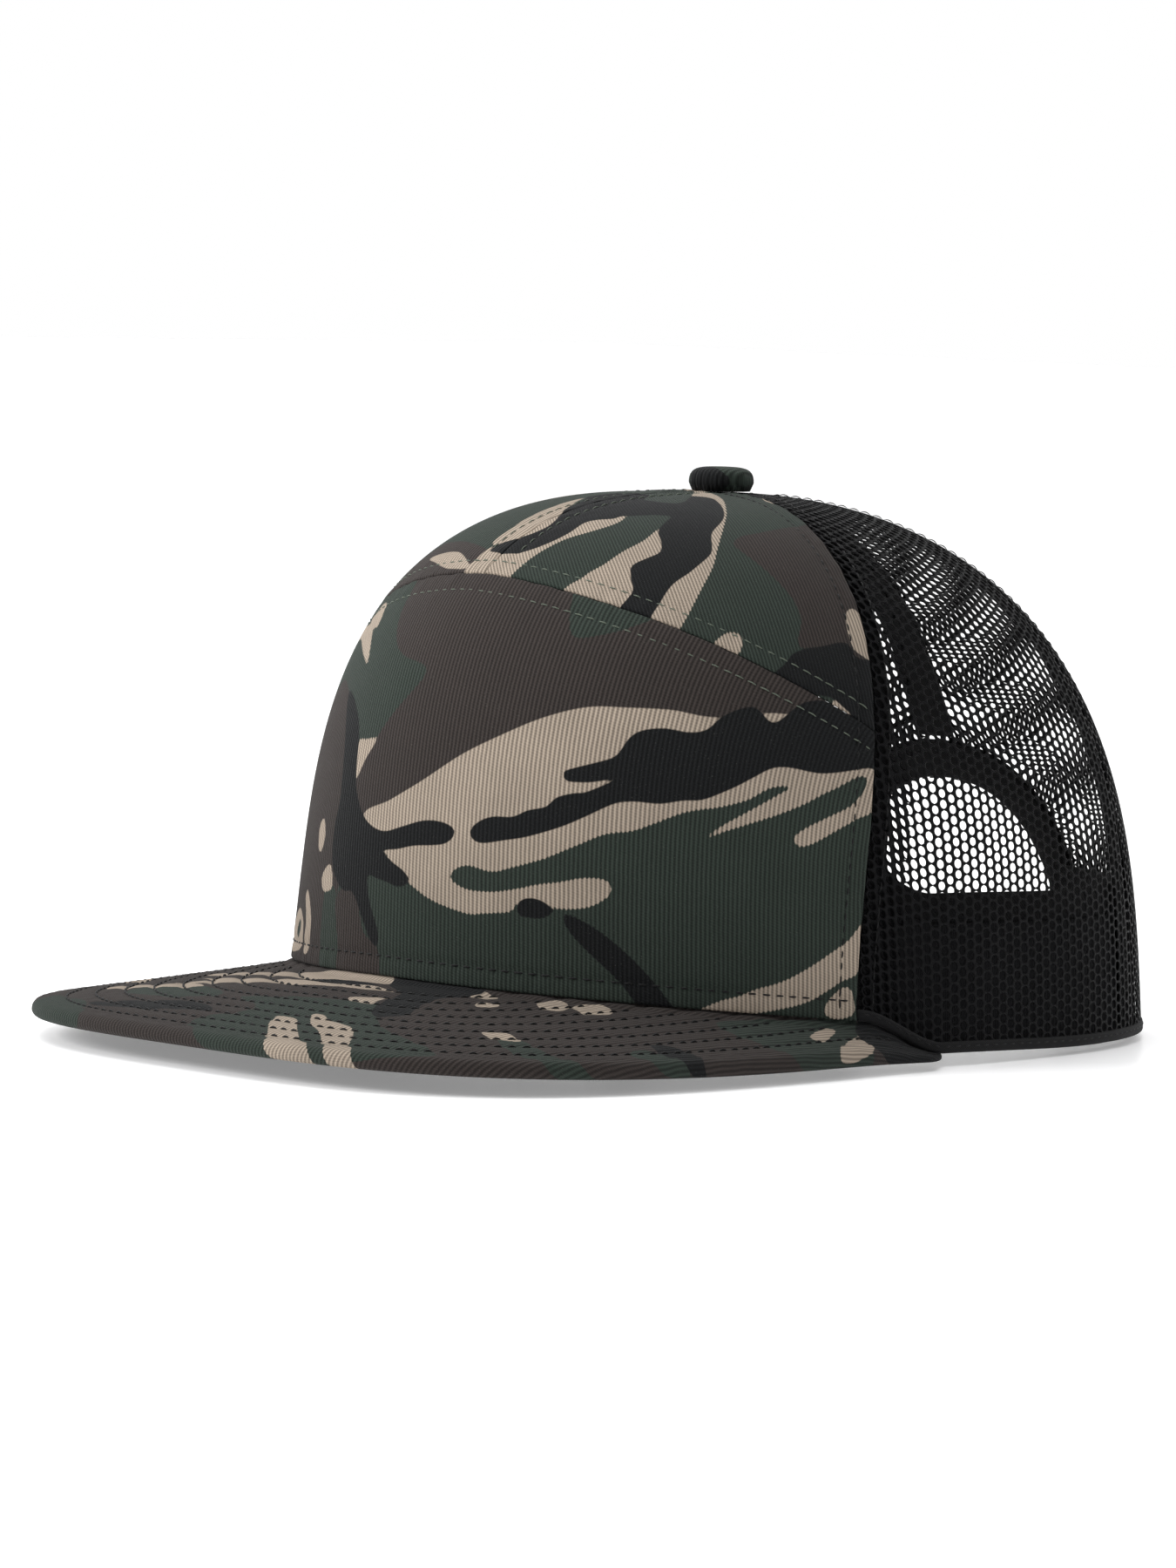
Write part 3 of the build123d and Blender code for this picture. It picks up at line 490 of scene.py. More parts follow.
UPPER_PRINT = (
    (BROWN, (26.9, 6.5), (26.7, 12), (26.3, 16), (25.8, 19.5), (25, 22.6), (26, 24.6), (30, 24.6),
     (36.7, 24.2), (40, 25), (42.3, 27.6), (44.5, 24), (48, 20), (56, 12), (48, 6), (40, 2), (32, 1)),
    (BROWN, (-20, 35), (-15, 36), (-8, 38), (-2, 40.5), (-2, 45), (-18, 46), (-26, 41)),
    (TAN, (-7, -0.5), (-2, 2), (2, 5), (6, 8), (10, 10.8), (13, 13.2), (16, 16), (19, 19), (22, 22.8),
     (25, 27), (27, 30), (28.5, 34), (29.7, 38.5), (30.2, 45), (24, 46), (23, 30), (18, 21), (10, 14),
     (6.5, 12.8), (3, 8.7), (-1, 4.8), (-7.5, 1.5)),
    (TAN, (16, 28.5), (18.5, 30.5), (20.2, 32.6), (19.8, 36), (21.9, 39), (22, 46), (13, 46), (14.3, 40.5),
     (15.3, 38), (15.8, 35), (16.4, 32)),
    (TAN, (8.6, 27.4), (9.9, 29), (10, 31), (8.8, 33.5), (7, 36), (5.9, 38.5), (5.2, 40.5), (3.6, 45),
     (-3, 46), (-3, 39), (2.5, 39), (4.8, 37), (5.5, 34), (6.2, 31), (7.5, 30)),
    (TAN, (-4.8, 22), (-3.2, 24.6), (-2, 26.6), (-0.9, 28.4), (0.5, 30.5), (1.6, 32.5), (2, 34),
     (1.3, 35.9), (-0.4, 37.4), (-3.4, 38.5), (-4, 34), (-4.6, 28)),
    (TAN, (14, 5.2), (20, 4.4), (26, 5), (31, 6.6), (28, 7.4), (22, 6.9), (16, 6.5)),
    (TAN, (42.2, 16.2), (44, 15.1), (46.5, 14.9), (48.7, 16.6), (48, 18.3), (46.5, 19.7), (44.5, 19.4),
     (42.5, 18)),
    (TAN, (52.4, 20.2), (54, 20.4), (56.5, 21.4), (55.8, 23.6), (54, 25.2), (52.5, 26.6), (50.3, 27.6),
     (49.6, 25.3), (51.4, 23.8), (52.2, 22)),
    (TAN, (43, 31.5), (44.5, 29.4), (46.6, 28.8), (47.4, 30.5), (45, 33), (42.7, 34.6)),
    (TAN, (34.9, 35), (36.5, 33.8), (37.6, 35), (37.6, 37.4), (36, 39.2), (34.5, 38.2)),
    (TAN, (-17, 38.6), (-12, 39), (-8, 40), (-3.6, 42.7), (-8, 42.6), (-13, 40.6)),
    (BLACK, (6.9, 13), (10, 12.7), (13.1, 14.5), (16.2, 16.8), (18.8, 19.2), (20.4, 21.5), (21.9, 24.9),
     (24.2, 27.2), (25.2, 28.8), (25.4, 32.6), (25, 35.7), (25.6, 39.5), (25.9, 45), (21.5, 45),
     (21.5, 39.7), (20, 38.1), (18.6, 36.5), (19.2, 34.5), (19.8, 32.6), (18.5, 31), (16.7, 29.7),
     (15.8, 28.4), (15, 26.5), (14.2, 24.9), (12.3, 25.7), (10, 27.6), (8.9, 28.4), (8.6, 29.5),
     (6.9, 30.6), (6.1, 31.9), (6.3, 34.5), (5.8, 36.5), (4.6, 38.4), (2.7, 39.8), (0, 40.2), (-2.5, 39.8),
     (-2.3, 38.4), (0, 37), (1.3, 35.7), (1.7, 33.8), (1.2, 31.8), (0, 29.9), (-1.5, 27.2), (-2.3, 24.9),
     (-3.5, 22.6), (-5.4, 20), (-4, 16.5), (1, 15.5), (3.5, 18.5), (5, 20), (9.5, 20), (10, 18), (8, 15)),
    (BLACK, (45.4, 20.6), (47.6, 19.7), (50, 15), (58, 16), (58, 21), (50.2, 26), (48, 28.5), (45, 31.8),
     (42.5, 35), (42.7, 31), (42.6, 28.5), (44.1, 24.4)),
    # the side that faces away
    (TAN, (-14, 12), (-18, 18), (-24, 22), (-30, 21), (-36, 24), (-30, 27), (-22, 27), (-16, 22),
     (-12, 16)),
    (BLACK, (-12, 14), (-18, 20), (-26, 24), (-34, 22), (-42, 24), (-48, 22), (-40, 18), (-30, 18),
     (-20, 14)),
    (BROWN, (-40, 4), (-30, 8), (-34, 14), (-44, 16), (-52, 12), (-50, 4)),
    (TAN, (-44, 28), (-40, 32), (-46, 32), (-52, 28), (-48, 26)),
)
# On the brim a place is (x, forward) in millimetres.
BRIM_PRINT = (
    (BROWN, (-120, 0), (120, 0), (120, 180), (-120, 180)),
    (GREEN, (-64, 140), (-55, 143), (-47, 146), (-40, 153), (-36, 164), (-60, 160)),
    (GREEN, (-15, 130), (-8, 126), (4, 123), (14, 119.5), (20, 122), (24, 127), (30, 132), (36, 136),
     (45, 139), (56, 142), (62, 147), (56, 154), (48, 160), (40, 166), (20, 168), (8, 166), (-3, 156),
     (-6, 148), (-2, 140), (-6, 134)),
    (GREEN, (56, 122), (62, 121), (70, 123), (78, 124), (88, 124), (84, 131), (72, 130.5), (66, 129),
     (60, 126)),
    (GREEN, (79, 38), (86, 42), (96, 48), (96, 67), (84, 70), (76, 72), (69, 70), (71, 60), (75, 50)),
    (GREEN, (78, 101), (83, 99), (92, 101), (88, 107), (79, 106.5)),
    (GREEN, (-96, 62), (-84, 66), (-78, 76), (-84, 88), (-98, 92)),
    (GREEN, (-46, 122), (-30, 124), (-22, 130), (-34, 136), (-50, 132)),
    (TAN, (-50, 103), (-30, 101.5), (-10, 100), (0, 100), (5.5, 105.8), (-5, 107), (-20, 107.6), (-35, 106),
     (-50, 107.4)),
    (TAN, (-46, 112), (-20, 110), (0, 108.5), (11, 109.4), (6, 112), (-8, 113.5), (-25, 115), (-40, 119),
     (-47, 120), (-41, 114.5)),
    (TAN, (-61, 125), (-50, 122), (-42, 119.8), (-35.5, 122), (-38, 124.2), (-48, 126), (-58, 129.4)),
    (TAN, (7.7, 119.4), (12.6, 116.4), (14, 114), (15.4, 117), (15.2, 121.2), (11, 121.2)),
    (TAN, (8.6, 140.8), (14, 140.7), (20, 146), (27, 152), (34, 158), (40, 165), (28, 165), (20, 154.5),
     (12, 146.5)),
    (TAN, (13.6, 135.6), (16, 134.8), (22, 137.8), (30, 139.8), (36, 145), (42, 152), (52, 164), (45, 164),
     (36, 154), (28, 147), (20, 142)),
    (TAN, (39.8, 92), (43, 89.8), (47, 92.5), (47.7, 96.6), (44, 97.6), (40.4, 95.5)),
    (TAN, (45.8, 88), (49, 84.8), (53, 85.4), (55.2, 89), (52, 92.6), (47, 91.6)),
    (TAN, (24.8, 99), (28, 97.8), (32.2, 99), (31, 101.7), (26.5, 101.6)),
    (TAN, (31.8, 104), (35, 102.3), (37.7, 104.5), (35, 107.7), (32.4, 106)),
    (TAN, (51.8, 122), (55, 119.8), (58, 119.8), (62.3, 122), (58, 124.7), (53.4, 124.2)),
    (TAN, (83.6, 40.6), (88, 40.4), (93, 46), (94, 56), (88, 50.4), (84.8, 45)),
    (TAN, (78.8, 46.4), (81, 45.8), (83.7, 51), (84.2, 54), (82, 54.8), (79.8, 50)),
    (TAN, (-88, 98), (-78, 100), (-68, 108), (-62, 116), (-70, 114), (-80, 108), (-92, 104)),
    (BLACK, (5.5, 99), (20, 98), (27, 97.6), (24, 108), (26, 116), (30, 124), (26, 129), (20, 124),
     (16, 116), (14, 110), (6, 106)),
    (BLACK, (-18, 108.6), (-8, 107.1), (2, 107.4), (4.4, 108), (-5, 109.4), (-15, 109.9)),
    (BLACK, (82, 12), (96, 16), (96, 40), (84, 41.4), (79, 36), (78, 28)),
    (BLACK, (75, 96), (82, 92), (88, 94), (94, 99), (82, 99.4)),
    (BLACK, (-74, 60), (-68, 70), (-66, 82), (-74, 92), (-72, 102), (-82, 96), (-80, 84), (-82, 70)),
    (BLACK, (-30, 140), (-20, 138), (-10, 143), (-22, 147), (-36, 150), (-44, 147)),
)
BUTTON_PRINT = (
    (BROWN, (-9, -3), (-5, -3), (-3.4, 0), (-5, 4), (-9, 5)),
    (BLACK, (-2, -9), (2, -6), (5, -3.4), (8.5, -3), (9, -5), (5, -9)),
    (BLACK, (-4, 5.4), (0, 3.4), (4.4, 4.6), (8, 3), (8, 8), (0, 9)),
)


def rounded(corners, cuts=5):
    """Smooth closed line through a few corners."""
    p = np.array(corners, float)
    before, after, next_after = np.roll(p, 1, 0), np.roll(p, -1, 0), np.roll(p, -2, 0)
    s = (np.arange(cuts) / cuts)[None, :, None]
    line = 0.5 * (2 * p[:, None] + (after - before)[:, None] * s
                  + (2 * before - 5 * p + 4 * after - next_after)[:, None] * s ** 2
                  + (3 * p - before - 3 * after + next_after)[:, None] * s ** 3)
    return line.reshape(-1, 2)


def inside_distance(x, y, line, reach=PRINT_REACH):
    """Distance to a closed line, positive inside it, and -reach where the line is far away."""
    result = np.full(x.shape, -reach)
    low, high = line.min(0) - reach, line.max(0) + reach
    near = (x > low[0]) & (x < high[0]) & (y > low[1]) & (y < high[1])
    px, py = x[near], y[near]
    if not len(px):
        return result
    best = np.full(px.shape, 1e9)
    odd = np.zeros(px.shape, bool)
    for a, b in zip(line, np.roll(line, -1, 0)):
        d = b - a
        length = max(float(d @ d), 1e-12)
        s = np.clip(((px - a[0]) * d[0] + (py - a[1]) * d[1]) / length, 0, 1)
        best = np.minimum(best, (px - a[0] - s * d[0]) ** 2 + (py - a[1] - s * d[1]) ** 2)
        if a[1] != b[1]:
            crosses = ((a[1] > py) != (b[1] > py)) & (px < a[0] + (py - a[1]) * d[0] / d[1])
            odd ^= crosses
    distance = np.sqrt(best)
    result[near] = np.where(odd, distance, -np.minimum(distance, reach))
    return result


def painted(shapes, x, y):
    """A field for each colour, positive where it shows, by the name of its attribute."""
    fields = [np.full(x.shape, PRINT_REACH if colour == GREEN else -PRINT_REACH) for colour in range(4)]
    for colour, *corners in shapes:
        shape = inside_distance(x, y, rounded(corners))
        for k in range(4):
            fields[k] = np.maximum(fields[k], shape) if k == colour else np.minimum(fields[k], -shape)
    return {"print_" + colour: field for colour, field in zip(COLOURS, fields)}


def crown_print(shapes):
    def fields(t, rise):
        r, turn = 90 - rise, np.radians(t)
        return painted(shapes, (r * np.sin(turn)).ravel(), (r * np.cos(turn)).ravel())
    return fields


# ---------------------------------------------------------------- materials
class Nodes:
    """Short way to write a material's nodes."""

    def __init__(self, name, **settings):
        self.material = bpy.data.materials.new(name)
        self.material.use_nodes = True
        self.tree = self.material.node_tree
        self.shader = self.tree.nodes["Principled BSDF"]
        for key, value in settings.items():
            self.shader.inputs[key.replace("_", " ")].default_value = value

    def new(self, kind, inputs=(), **settings):
        node = self.tree.nodes.new(kind)
        for key, value in settings.items():
            setattr(node, key, value)
        for key, value in dict(inputs).items():
            self.feed(node.inputs[key], value)
        return node

    def feed(self, socket, value):
        if isinstance(value, bpy.types.NodeSocket):
            self.tree.links.new(value, socket)
        else:
            socket.default_value = value

    def math(self, operation, a, b=0.0, c=0.0):
        return self.new("ShaderNodeMath", {0: a, 1: b, 2: c}, operation=operation).outputs[0]

    def mix(self, factor, a, b, blend="MIX"):
        node = self.new("ShaderNodeMix", {0: factor}, data_type="RGBA", blend_type=blend)
        self.feed(node.inputs[6], a)
        self.feed(node.inputs[7], b)
        return node.outputs[2]

    def field(self, name, vector=False):
        node = self.new("ShaderNodeAttribute", attribute_name=name)
        return node.outputs["Vector" if vector else "Fac"]

    def place(self):
        return self.new("ShaderNodeTexCoord").outputs["Object"]

    def noise(self, vector, scale, detail=3.0, rough=0.55):
        inputs = {"Vector": vector, "Scale": scale, "Detail": detail, "Roughness": rough}
        return self.new("ShaderNodeTexNoise", inputs).outputs["Fac"]

    def split(self, vector):
        return self.new("ShaderNodeSeparateXYZ", {0: vector}).outputs

    def range(self, value, a, b):
        """0 where the value is at or below a, 1 at or above b."""
        return self.new("ShaderNodeMapRange", {0: value, 1: a, 2: b}).outputs[0]

    def grey(self, value):
        return self.new("ShaderNodeCombineXYZ", {0: value, 1: value, 2: value}).outputs[0]

    def bump(self, height, distance, strength):
        """Shading normals from a height: the relief is bump only, over real geometry."""
        inputs = {"Height": height, "Distance": distance, "Strength": strength}
        return self.new("ShaderNodeBump", inputs).outputs[0]

    def colour(self, value):
        self.feed(self.shader.inputs["Base Color"], value)

    def rough(self, value):
        self.feed(self.shader.inputs["Roughness"], value)

    def normal(self, value):
        self.feed(self.shader.inputs["Normal"], value)

    def threads(self, place, pitch, slant):
        """Twill ribs across the cloth's own lengths: rib height and the finer threads."""
        x, y, _ = self.split(place)
        drift = self.math("MULTIPLY", self.math("SUBTRACT", self.noise(place, 260.0, 2.0), 0.5), 0.24 * pitch)
        across = self.math("ADD", self.math("ADD", x, self.math("MULTIPLY", y, slant)), drift)
        turn = self.math("MULTIPLY", across, 2 * math.pi / pitch)
        rib = self.math("MULTIPLY_ADD", self.math("SINE", turn), 0.5, 0.5)
        cross = self.math("MULTIPLY_ADD", self.math("SINE", self.math("ADD", self.math(
            "MULTIPLY", y, 2 * math.pi / (pitch * 0.62)), self.math("MULTIPLY", turn, 0.5))), 0.5, 0.5)
        return rib, cross


def rgb(r, g, b):
    """Linear colour from 0-255 values as seen on a screen."""
    def channel(c):
        c = c / 255
        return c / 12.92 if c <= 0.04045 else ((c + 0.055) / 1.055) ** 2.4
    return channel(r), channel(g), channel(b), 1.0


PRINT_COLOURS = {"green": rgb(42, 49, 44), "brown": rgb(48, 43, 41), "tan": rgb(143, 131, 118),
                 "black": rgb(20, 21, 22)}


def lighter(colour, factor):
    return tuple(c * factor for c in colour[:3]) + (1.0,)


TWILL_PITCH = 0.98 * MM


def printed_twill(name, slant, ribs=1.0):
    """Printed cotton twill: four colours between crisp, slightly thread-stepped borders."""
    n = Nodes(name, Roughness=0.88, Sheen_Weight=0.04, Sheen_Roughness=0.4, Specular_IOR_Level=0.12)
    place = n.field("weave", True)
    rib, cross = n.threads(place, TWILL_PITCH, slant)
    jitter = n.math("MULTIPLY", n.math("SUBTRACT", n.noise(place, 1500.0, 2.0), 0.5), 0.35)
    step = n.math("MULTIPLY", n.math("SUBTRACT", rib, 0.5), 0.28)
    colour, best = PRINT_COLOURS["green"], n.field("print_green")
    for shade in COLOURS[1:]:
        value = n.math("ADD", n.field("print_" + shade), n.math("ADD", jitter, step))
        wins = n.range(n.math("SUBTRACT", value, best), -0.14, 0.14)
        colour = n.mix(wins, colour, PRINT_COLOURS[shade])
        best = n.math("MAXIMUM", best, value)
    # ink sits on the ribs, and the white yarn and shade show in between
    fade = n.noise(place, 90.0, 4.0)
    lint = n.range(n.noise(place, 2600.0, 2.0, 0.7), 0.63, 0.8)
    light = n.math("ADD", n.math("MULTIPLY_ADD", rib, 0.84 * ribs, 0.5),
                   n.math("MULTIPLY", cross, 0.2 * ribs))
    light = n.math("MULTIPLY", light, n.math("MULTIPLY_ADD", fade, 0.3, 0.85))
    colour = n.mix(1.0, colour, n.grey(light), "MULTIPLY")
    colour = n.mix(n.math("MULTIPLY", lint, 0.2), colour, rgb(150, 150, 144))
    n.colour(colour)
    height = n.math("ADD", n.math("MULTIPLY", rib, 0.7), n.math("MULTIPLY", cross, 0.3))
    fuzz = n.noise(place, 3200.0, 2.0, 0.7)
    n.normal(n.bump(n.math("MULTIPLY_ADD", fuzz, 0.25, height), 0.00022, 0.75))
    n.rough(n.math("MULTIPLY_ADD", fade, 0.12, 0.8))
    return n.material


def black_cloth(name, colour, pitch, slant, sheen, rough=0.8):
    """Dyed twill or tape with diagonal ribs, fuzz, a random worn tone, and painted shade that darkens the
    grooves between ribs and lightens the high threads.
    """
    n = Nodes(name, Roughness=rough, Sheen_Weight=sheen, Sheen_Roughness=0.45, Specular_IOR_Level=0.12)
    place = n.field("weave", True)
    rib, cross = n.threads(place, pitch, slant)
    wear = n.noise(place, 120.0, 4.0)
    height = n.math("ADD", n.math("MULTIPLY", rib, 0.7), n.math("MULTIPLY", cross, 0.3))
    # painted shade: rib height lightens the high threads and darkens the grooves between them, times the
    # random worn tone
    light = n.math("MULTIPLY", n.math("MULTIPLY_ADD", height, 0.9, 0.5),
                   n.math("MULTIPLY_ADD", wear, 0.5, 0.75))
    n.colour(n.mix(1.0, colour, n.grey(light), "MULTIPLY"))
    n.normal(n.bump(n.math("MULTIPLY_ADD", n.noise(place, 2800.0, 2.0), 0.2, height), 0.00016, 0.8))
    n.rough(n.math("MULTIPLY_ADD", wear, 0.15, rough - 0.08))
    return n.material


def net_material(name, colour, rough=0.42):
    """Knitted polyester net: glossy filaments twisted along each strand."""
    n = Nodes(name, Roughness=rough, Specular_IOR_Level=0.06)
    place = n.field("weave", True)
    x, y, _ = n.split(place)
    twist = n.math("SINE", n.math("ADD", n.math("MULTIPLY", y, 2 * math.pi / 0.00055),
                                  n.math("MULTIPLY", x, 2 * math.pi / 0.0009)))
    strand = n.noise(place, 1700.0, 2.0, 0.6)
    n.colour(n.mix(strand, colour, lighter(colour, 2.2)))
    n.rough(n.math("MULTIPLY_ADD", strand, 0.25, rough - 0.12))
    n.normal(n.bump(n.math("ADD", n.math("MULTIPLY", twist, 0.5), strand), 0.00012, 0.7))
    return n.material


def thread_material(name, colour, rough=0.55):
    n = Nodes(name, Roughness=rough, Sheen_Weight=0.05, Specular_IOR_Level=0.2)
    place = n.place()
    ply = n.new("ShaderNodeTexWave", {"Vector": place, "Scale": 900.0, "Distortion": 1.5, "Detail": 1.0},
                bands_direction="DIAGONAL").outputs["Fac"]
    tone = n.noise(place, 300.0, 2.0)
    n.colour(n.mix(tone, lighter(colour, 0.7), colour))
    n.rough(n.math("MULTIPLY_ADD", tone, 0.2, rough - 0.1))
    n.normal(n.bump(ply, 0.00006, 0.5))
    return n.material


def plastic_material(name, colour, rough=0.32):
    """Moulded plastic: faint orange peel, fine scuffs and slightly duller high spots."""
    n = Nodes(name, Roughness=rough, Specular_IOR_Level=0.5)
    place = n.place()
    peel = n.noise(place, 900.0, 3.0)
    scuff = n.range(n.noise(place, 240.0, 6.0, 0.7), 0.45, 0.75)
    n.colour(n.mix(scuff, colour, tuple(min(c * 1.7 + 0.004, 1) for c in colour[:3]) + (1.0,)))
    n.rough(n.math("MULTIPLY_ADD", scuff, 0.25, rough))
    n.normal(n.bump(peel, 0.00004, 0.35))
    return n.material


def steel_material(name):
    n = Nodes(name, Metallic=1.0, Roughness=0.35)
    place = n.place()
    scratch = n.noise(place, 700.0, 5.0, 0.7)
    n.colour(n.mix(scratch, (0.42, 0.42, 0.43, 1), (0.62, 0.62, 0.63, 1)))
    n.rough(n.math("MULTIPLY_ADD", scratch, 0.3, 0.2))
    n.normal(n.bump(scratch, 0.00003, 0.4))
    return n.material


camo = printed_twill("printed_twill", 0.1)
camo_upper = printed_twill("printed_twill_upper", 0.55)
camo_brim = printed_twill("printed_twill_brim", 0.1, 0.8)
black_twill = black_cloth("black_twill", rgb(20, 20, 21), 0.8 * MM, 0.9, 0.05)
tape_cloth = black_cloth("black_tape", rgb(22, 22, 23), 0.55 * MM, 1.0, 0.05, 0.72)
buckram_cloth = black_cloth("buckram", rgb(44, 44, 45), 0.9 * MM, 0.0, 0.05, 0.85)
lining_cloth = black_cloth("lining", rgb(26, 26, 28), 0.5 * MM, 0.0, 0.04, 0.85)
net = net_material("black_net", rgb(10, 10, 11))
black_thread = thread_material("black_thread", rgb(14, 14, 15))
sage_thread = thread_material("sage_thread", rgb(92, 100, 88))
strap_plastic = plastic_material("strap_plastic", rgb(22, 22, 23))
board_plastic = plastic_material("board_plastic", rgb(205, 203, 196), 0.45)
steel = steel_material("steel")

# ---------------------------------------------------------------- fabric panels
GAP, PANEL_THICKNESS, FRONT_SIZE, UPPER_SIZE = 0.075 * MM, 0.8 * MM, (0.2, 0.09), (0.075, 0.06)
YOKE_ROW_ABOVE, YOKE_ROW_BELOW, SIDE_ROW, RIM_ROW = 4.3 * MM, 5.0 * MM, 4.2 * MM, 4.2 * MM
panel_foot, panel_top = at_height(0.03 * MM), at_pole(POLE_HOLE)
side_edge = aside(front_seam, -GAP)


def pucker(distance, seed, t, rise, amount=0.13 * MM, reach=5.0 * MM):
    """Small gathers running away from a line of stitching."""
    return -amount * np.exp(-distance / reach) * waves(seed, t * 1.6, rise * 0.7)


def front_relief(d, t, rise):
    sink = (dimple(d[3], YOKE_ROW_BELOW) + dimple(d[0], SIDE_ROW) + dimple(d[1], SIDE_ROW)
            + dimple(d[2], RIM_ROW) + pucker(d[3], 3, t, rise) + pucker(d[2], 4, t, rise)
            + pucker(np.minimum(d[0], d[1]), 5, rise, t))
    return sink - 0.12 * MM * waves(6, t * 0.12, rise * 0.14)


def upper_relief(inner):
    """Relief of an upper panel whose edge number inner, 0 or 1, lies at the centre seam."""
    def relief(d, t, rise):
        sink = (dimple(d[2], YOKE_ROW_ABOVE) + dimple(d[1 - inner], SIDE_ROW)
                + dimple(d[inner], YOKE_ROW_ABOVE) + pucker(d[2], 7, t, rise)
                + pucker(np.minimum(d[0], d[1]), 8, rise, t))
        return sink - 0.1 * MM * waves(9, t * 0.12, rise * 0.14)
    return relief


cloth("front_panel_cloth", (mirrored(side_edge), side_edge, panel_foot, lifted(yoke_seam, -GAP)),
      0, PANEL_THICKNESS, camo, ["front_panel"], FRONT_SIZE, 0.9 * MM, front_relief,
      crown_print(FRONT_PRINT))
upper_edges = (aside(straight(0), GAP), side_edge, lifted(yoke_seam, GAP), panel_top)
for side, sign in SIDES:
    cloth("upper_front_cloth_" + side, on_side(upper_edges, sign), 0, PANEL_THICKNESS, camo_upper,
          ["upper_front_panel_" + side], UPPER_SIZE, 0.7 * MM,
          upper_relief(0 if sign > 0 else 1), crown_print(UPPER_PRINT))

# ---------------------------------------------------------------- net panels
COLUMN, ROW = 2.45 * MM, 2.35 * MM
NET_DEPTH, NET_THICKNESS = 0.15 * MM, 0.48 * MM
ALLOWANCE_DEPTH, ALLOWANCE_THICKNESS, ALLOWANCE_WIDTH = 0.86 * MM, 0.7 * MM, 10.5 * MM
SIDE_NET_CENTRE, BACK_NET_CENTRE = 97.0, 152.0
# the map from lengths along a net to azimuth and rise
MAP_RISES, MAP_TURNS, MAP_COLUMNS, MAP_SPREAD, MAP_REACH = 181, 301, 441, 75, 0.11
CORNERS = 12
RIM_LEVEL, MIDDLE_LEVEL, MIDDLE_SHARE = 0.04, 0.14, 0.62


def arch_share(x, z, margin=0.0):
    """Below 1 inside the half-moon opening at the back, 1 on its edge."""
    return ((np.abs(x) / (ARCH_HALF_WIDTH + margin)) ** ARCH_POWER
            + (np.abs(z) / (ARCH_HEIGHT + margin)) ** ARCH_POWER) ** (1 / ARCH_POWER)


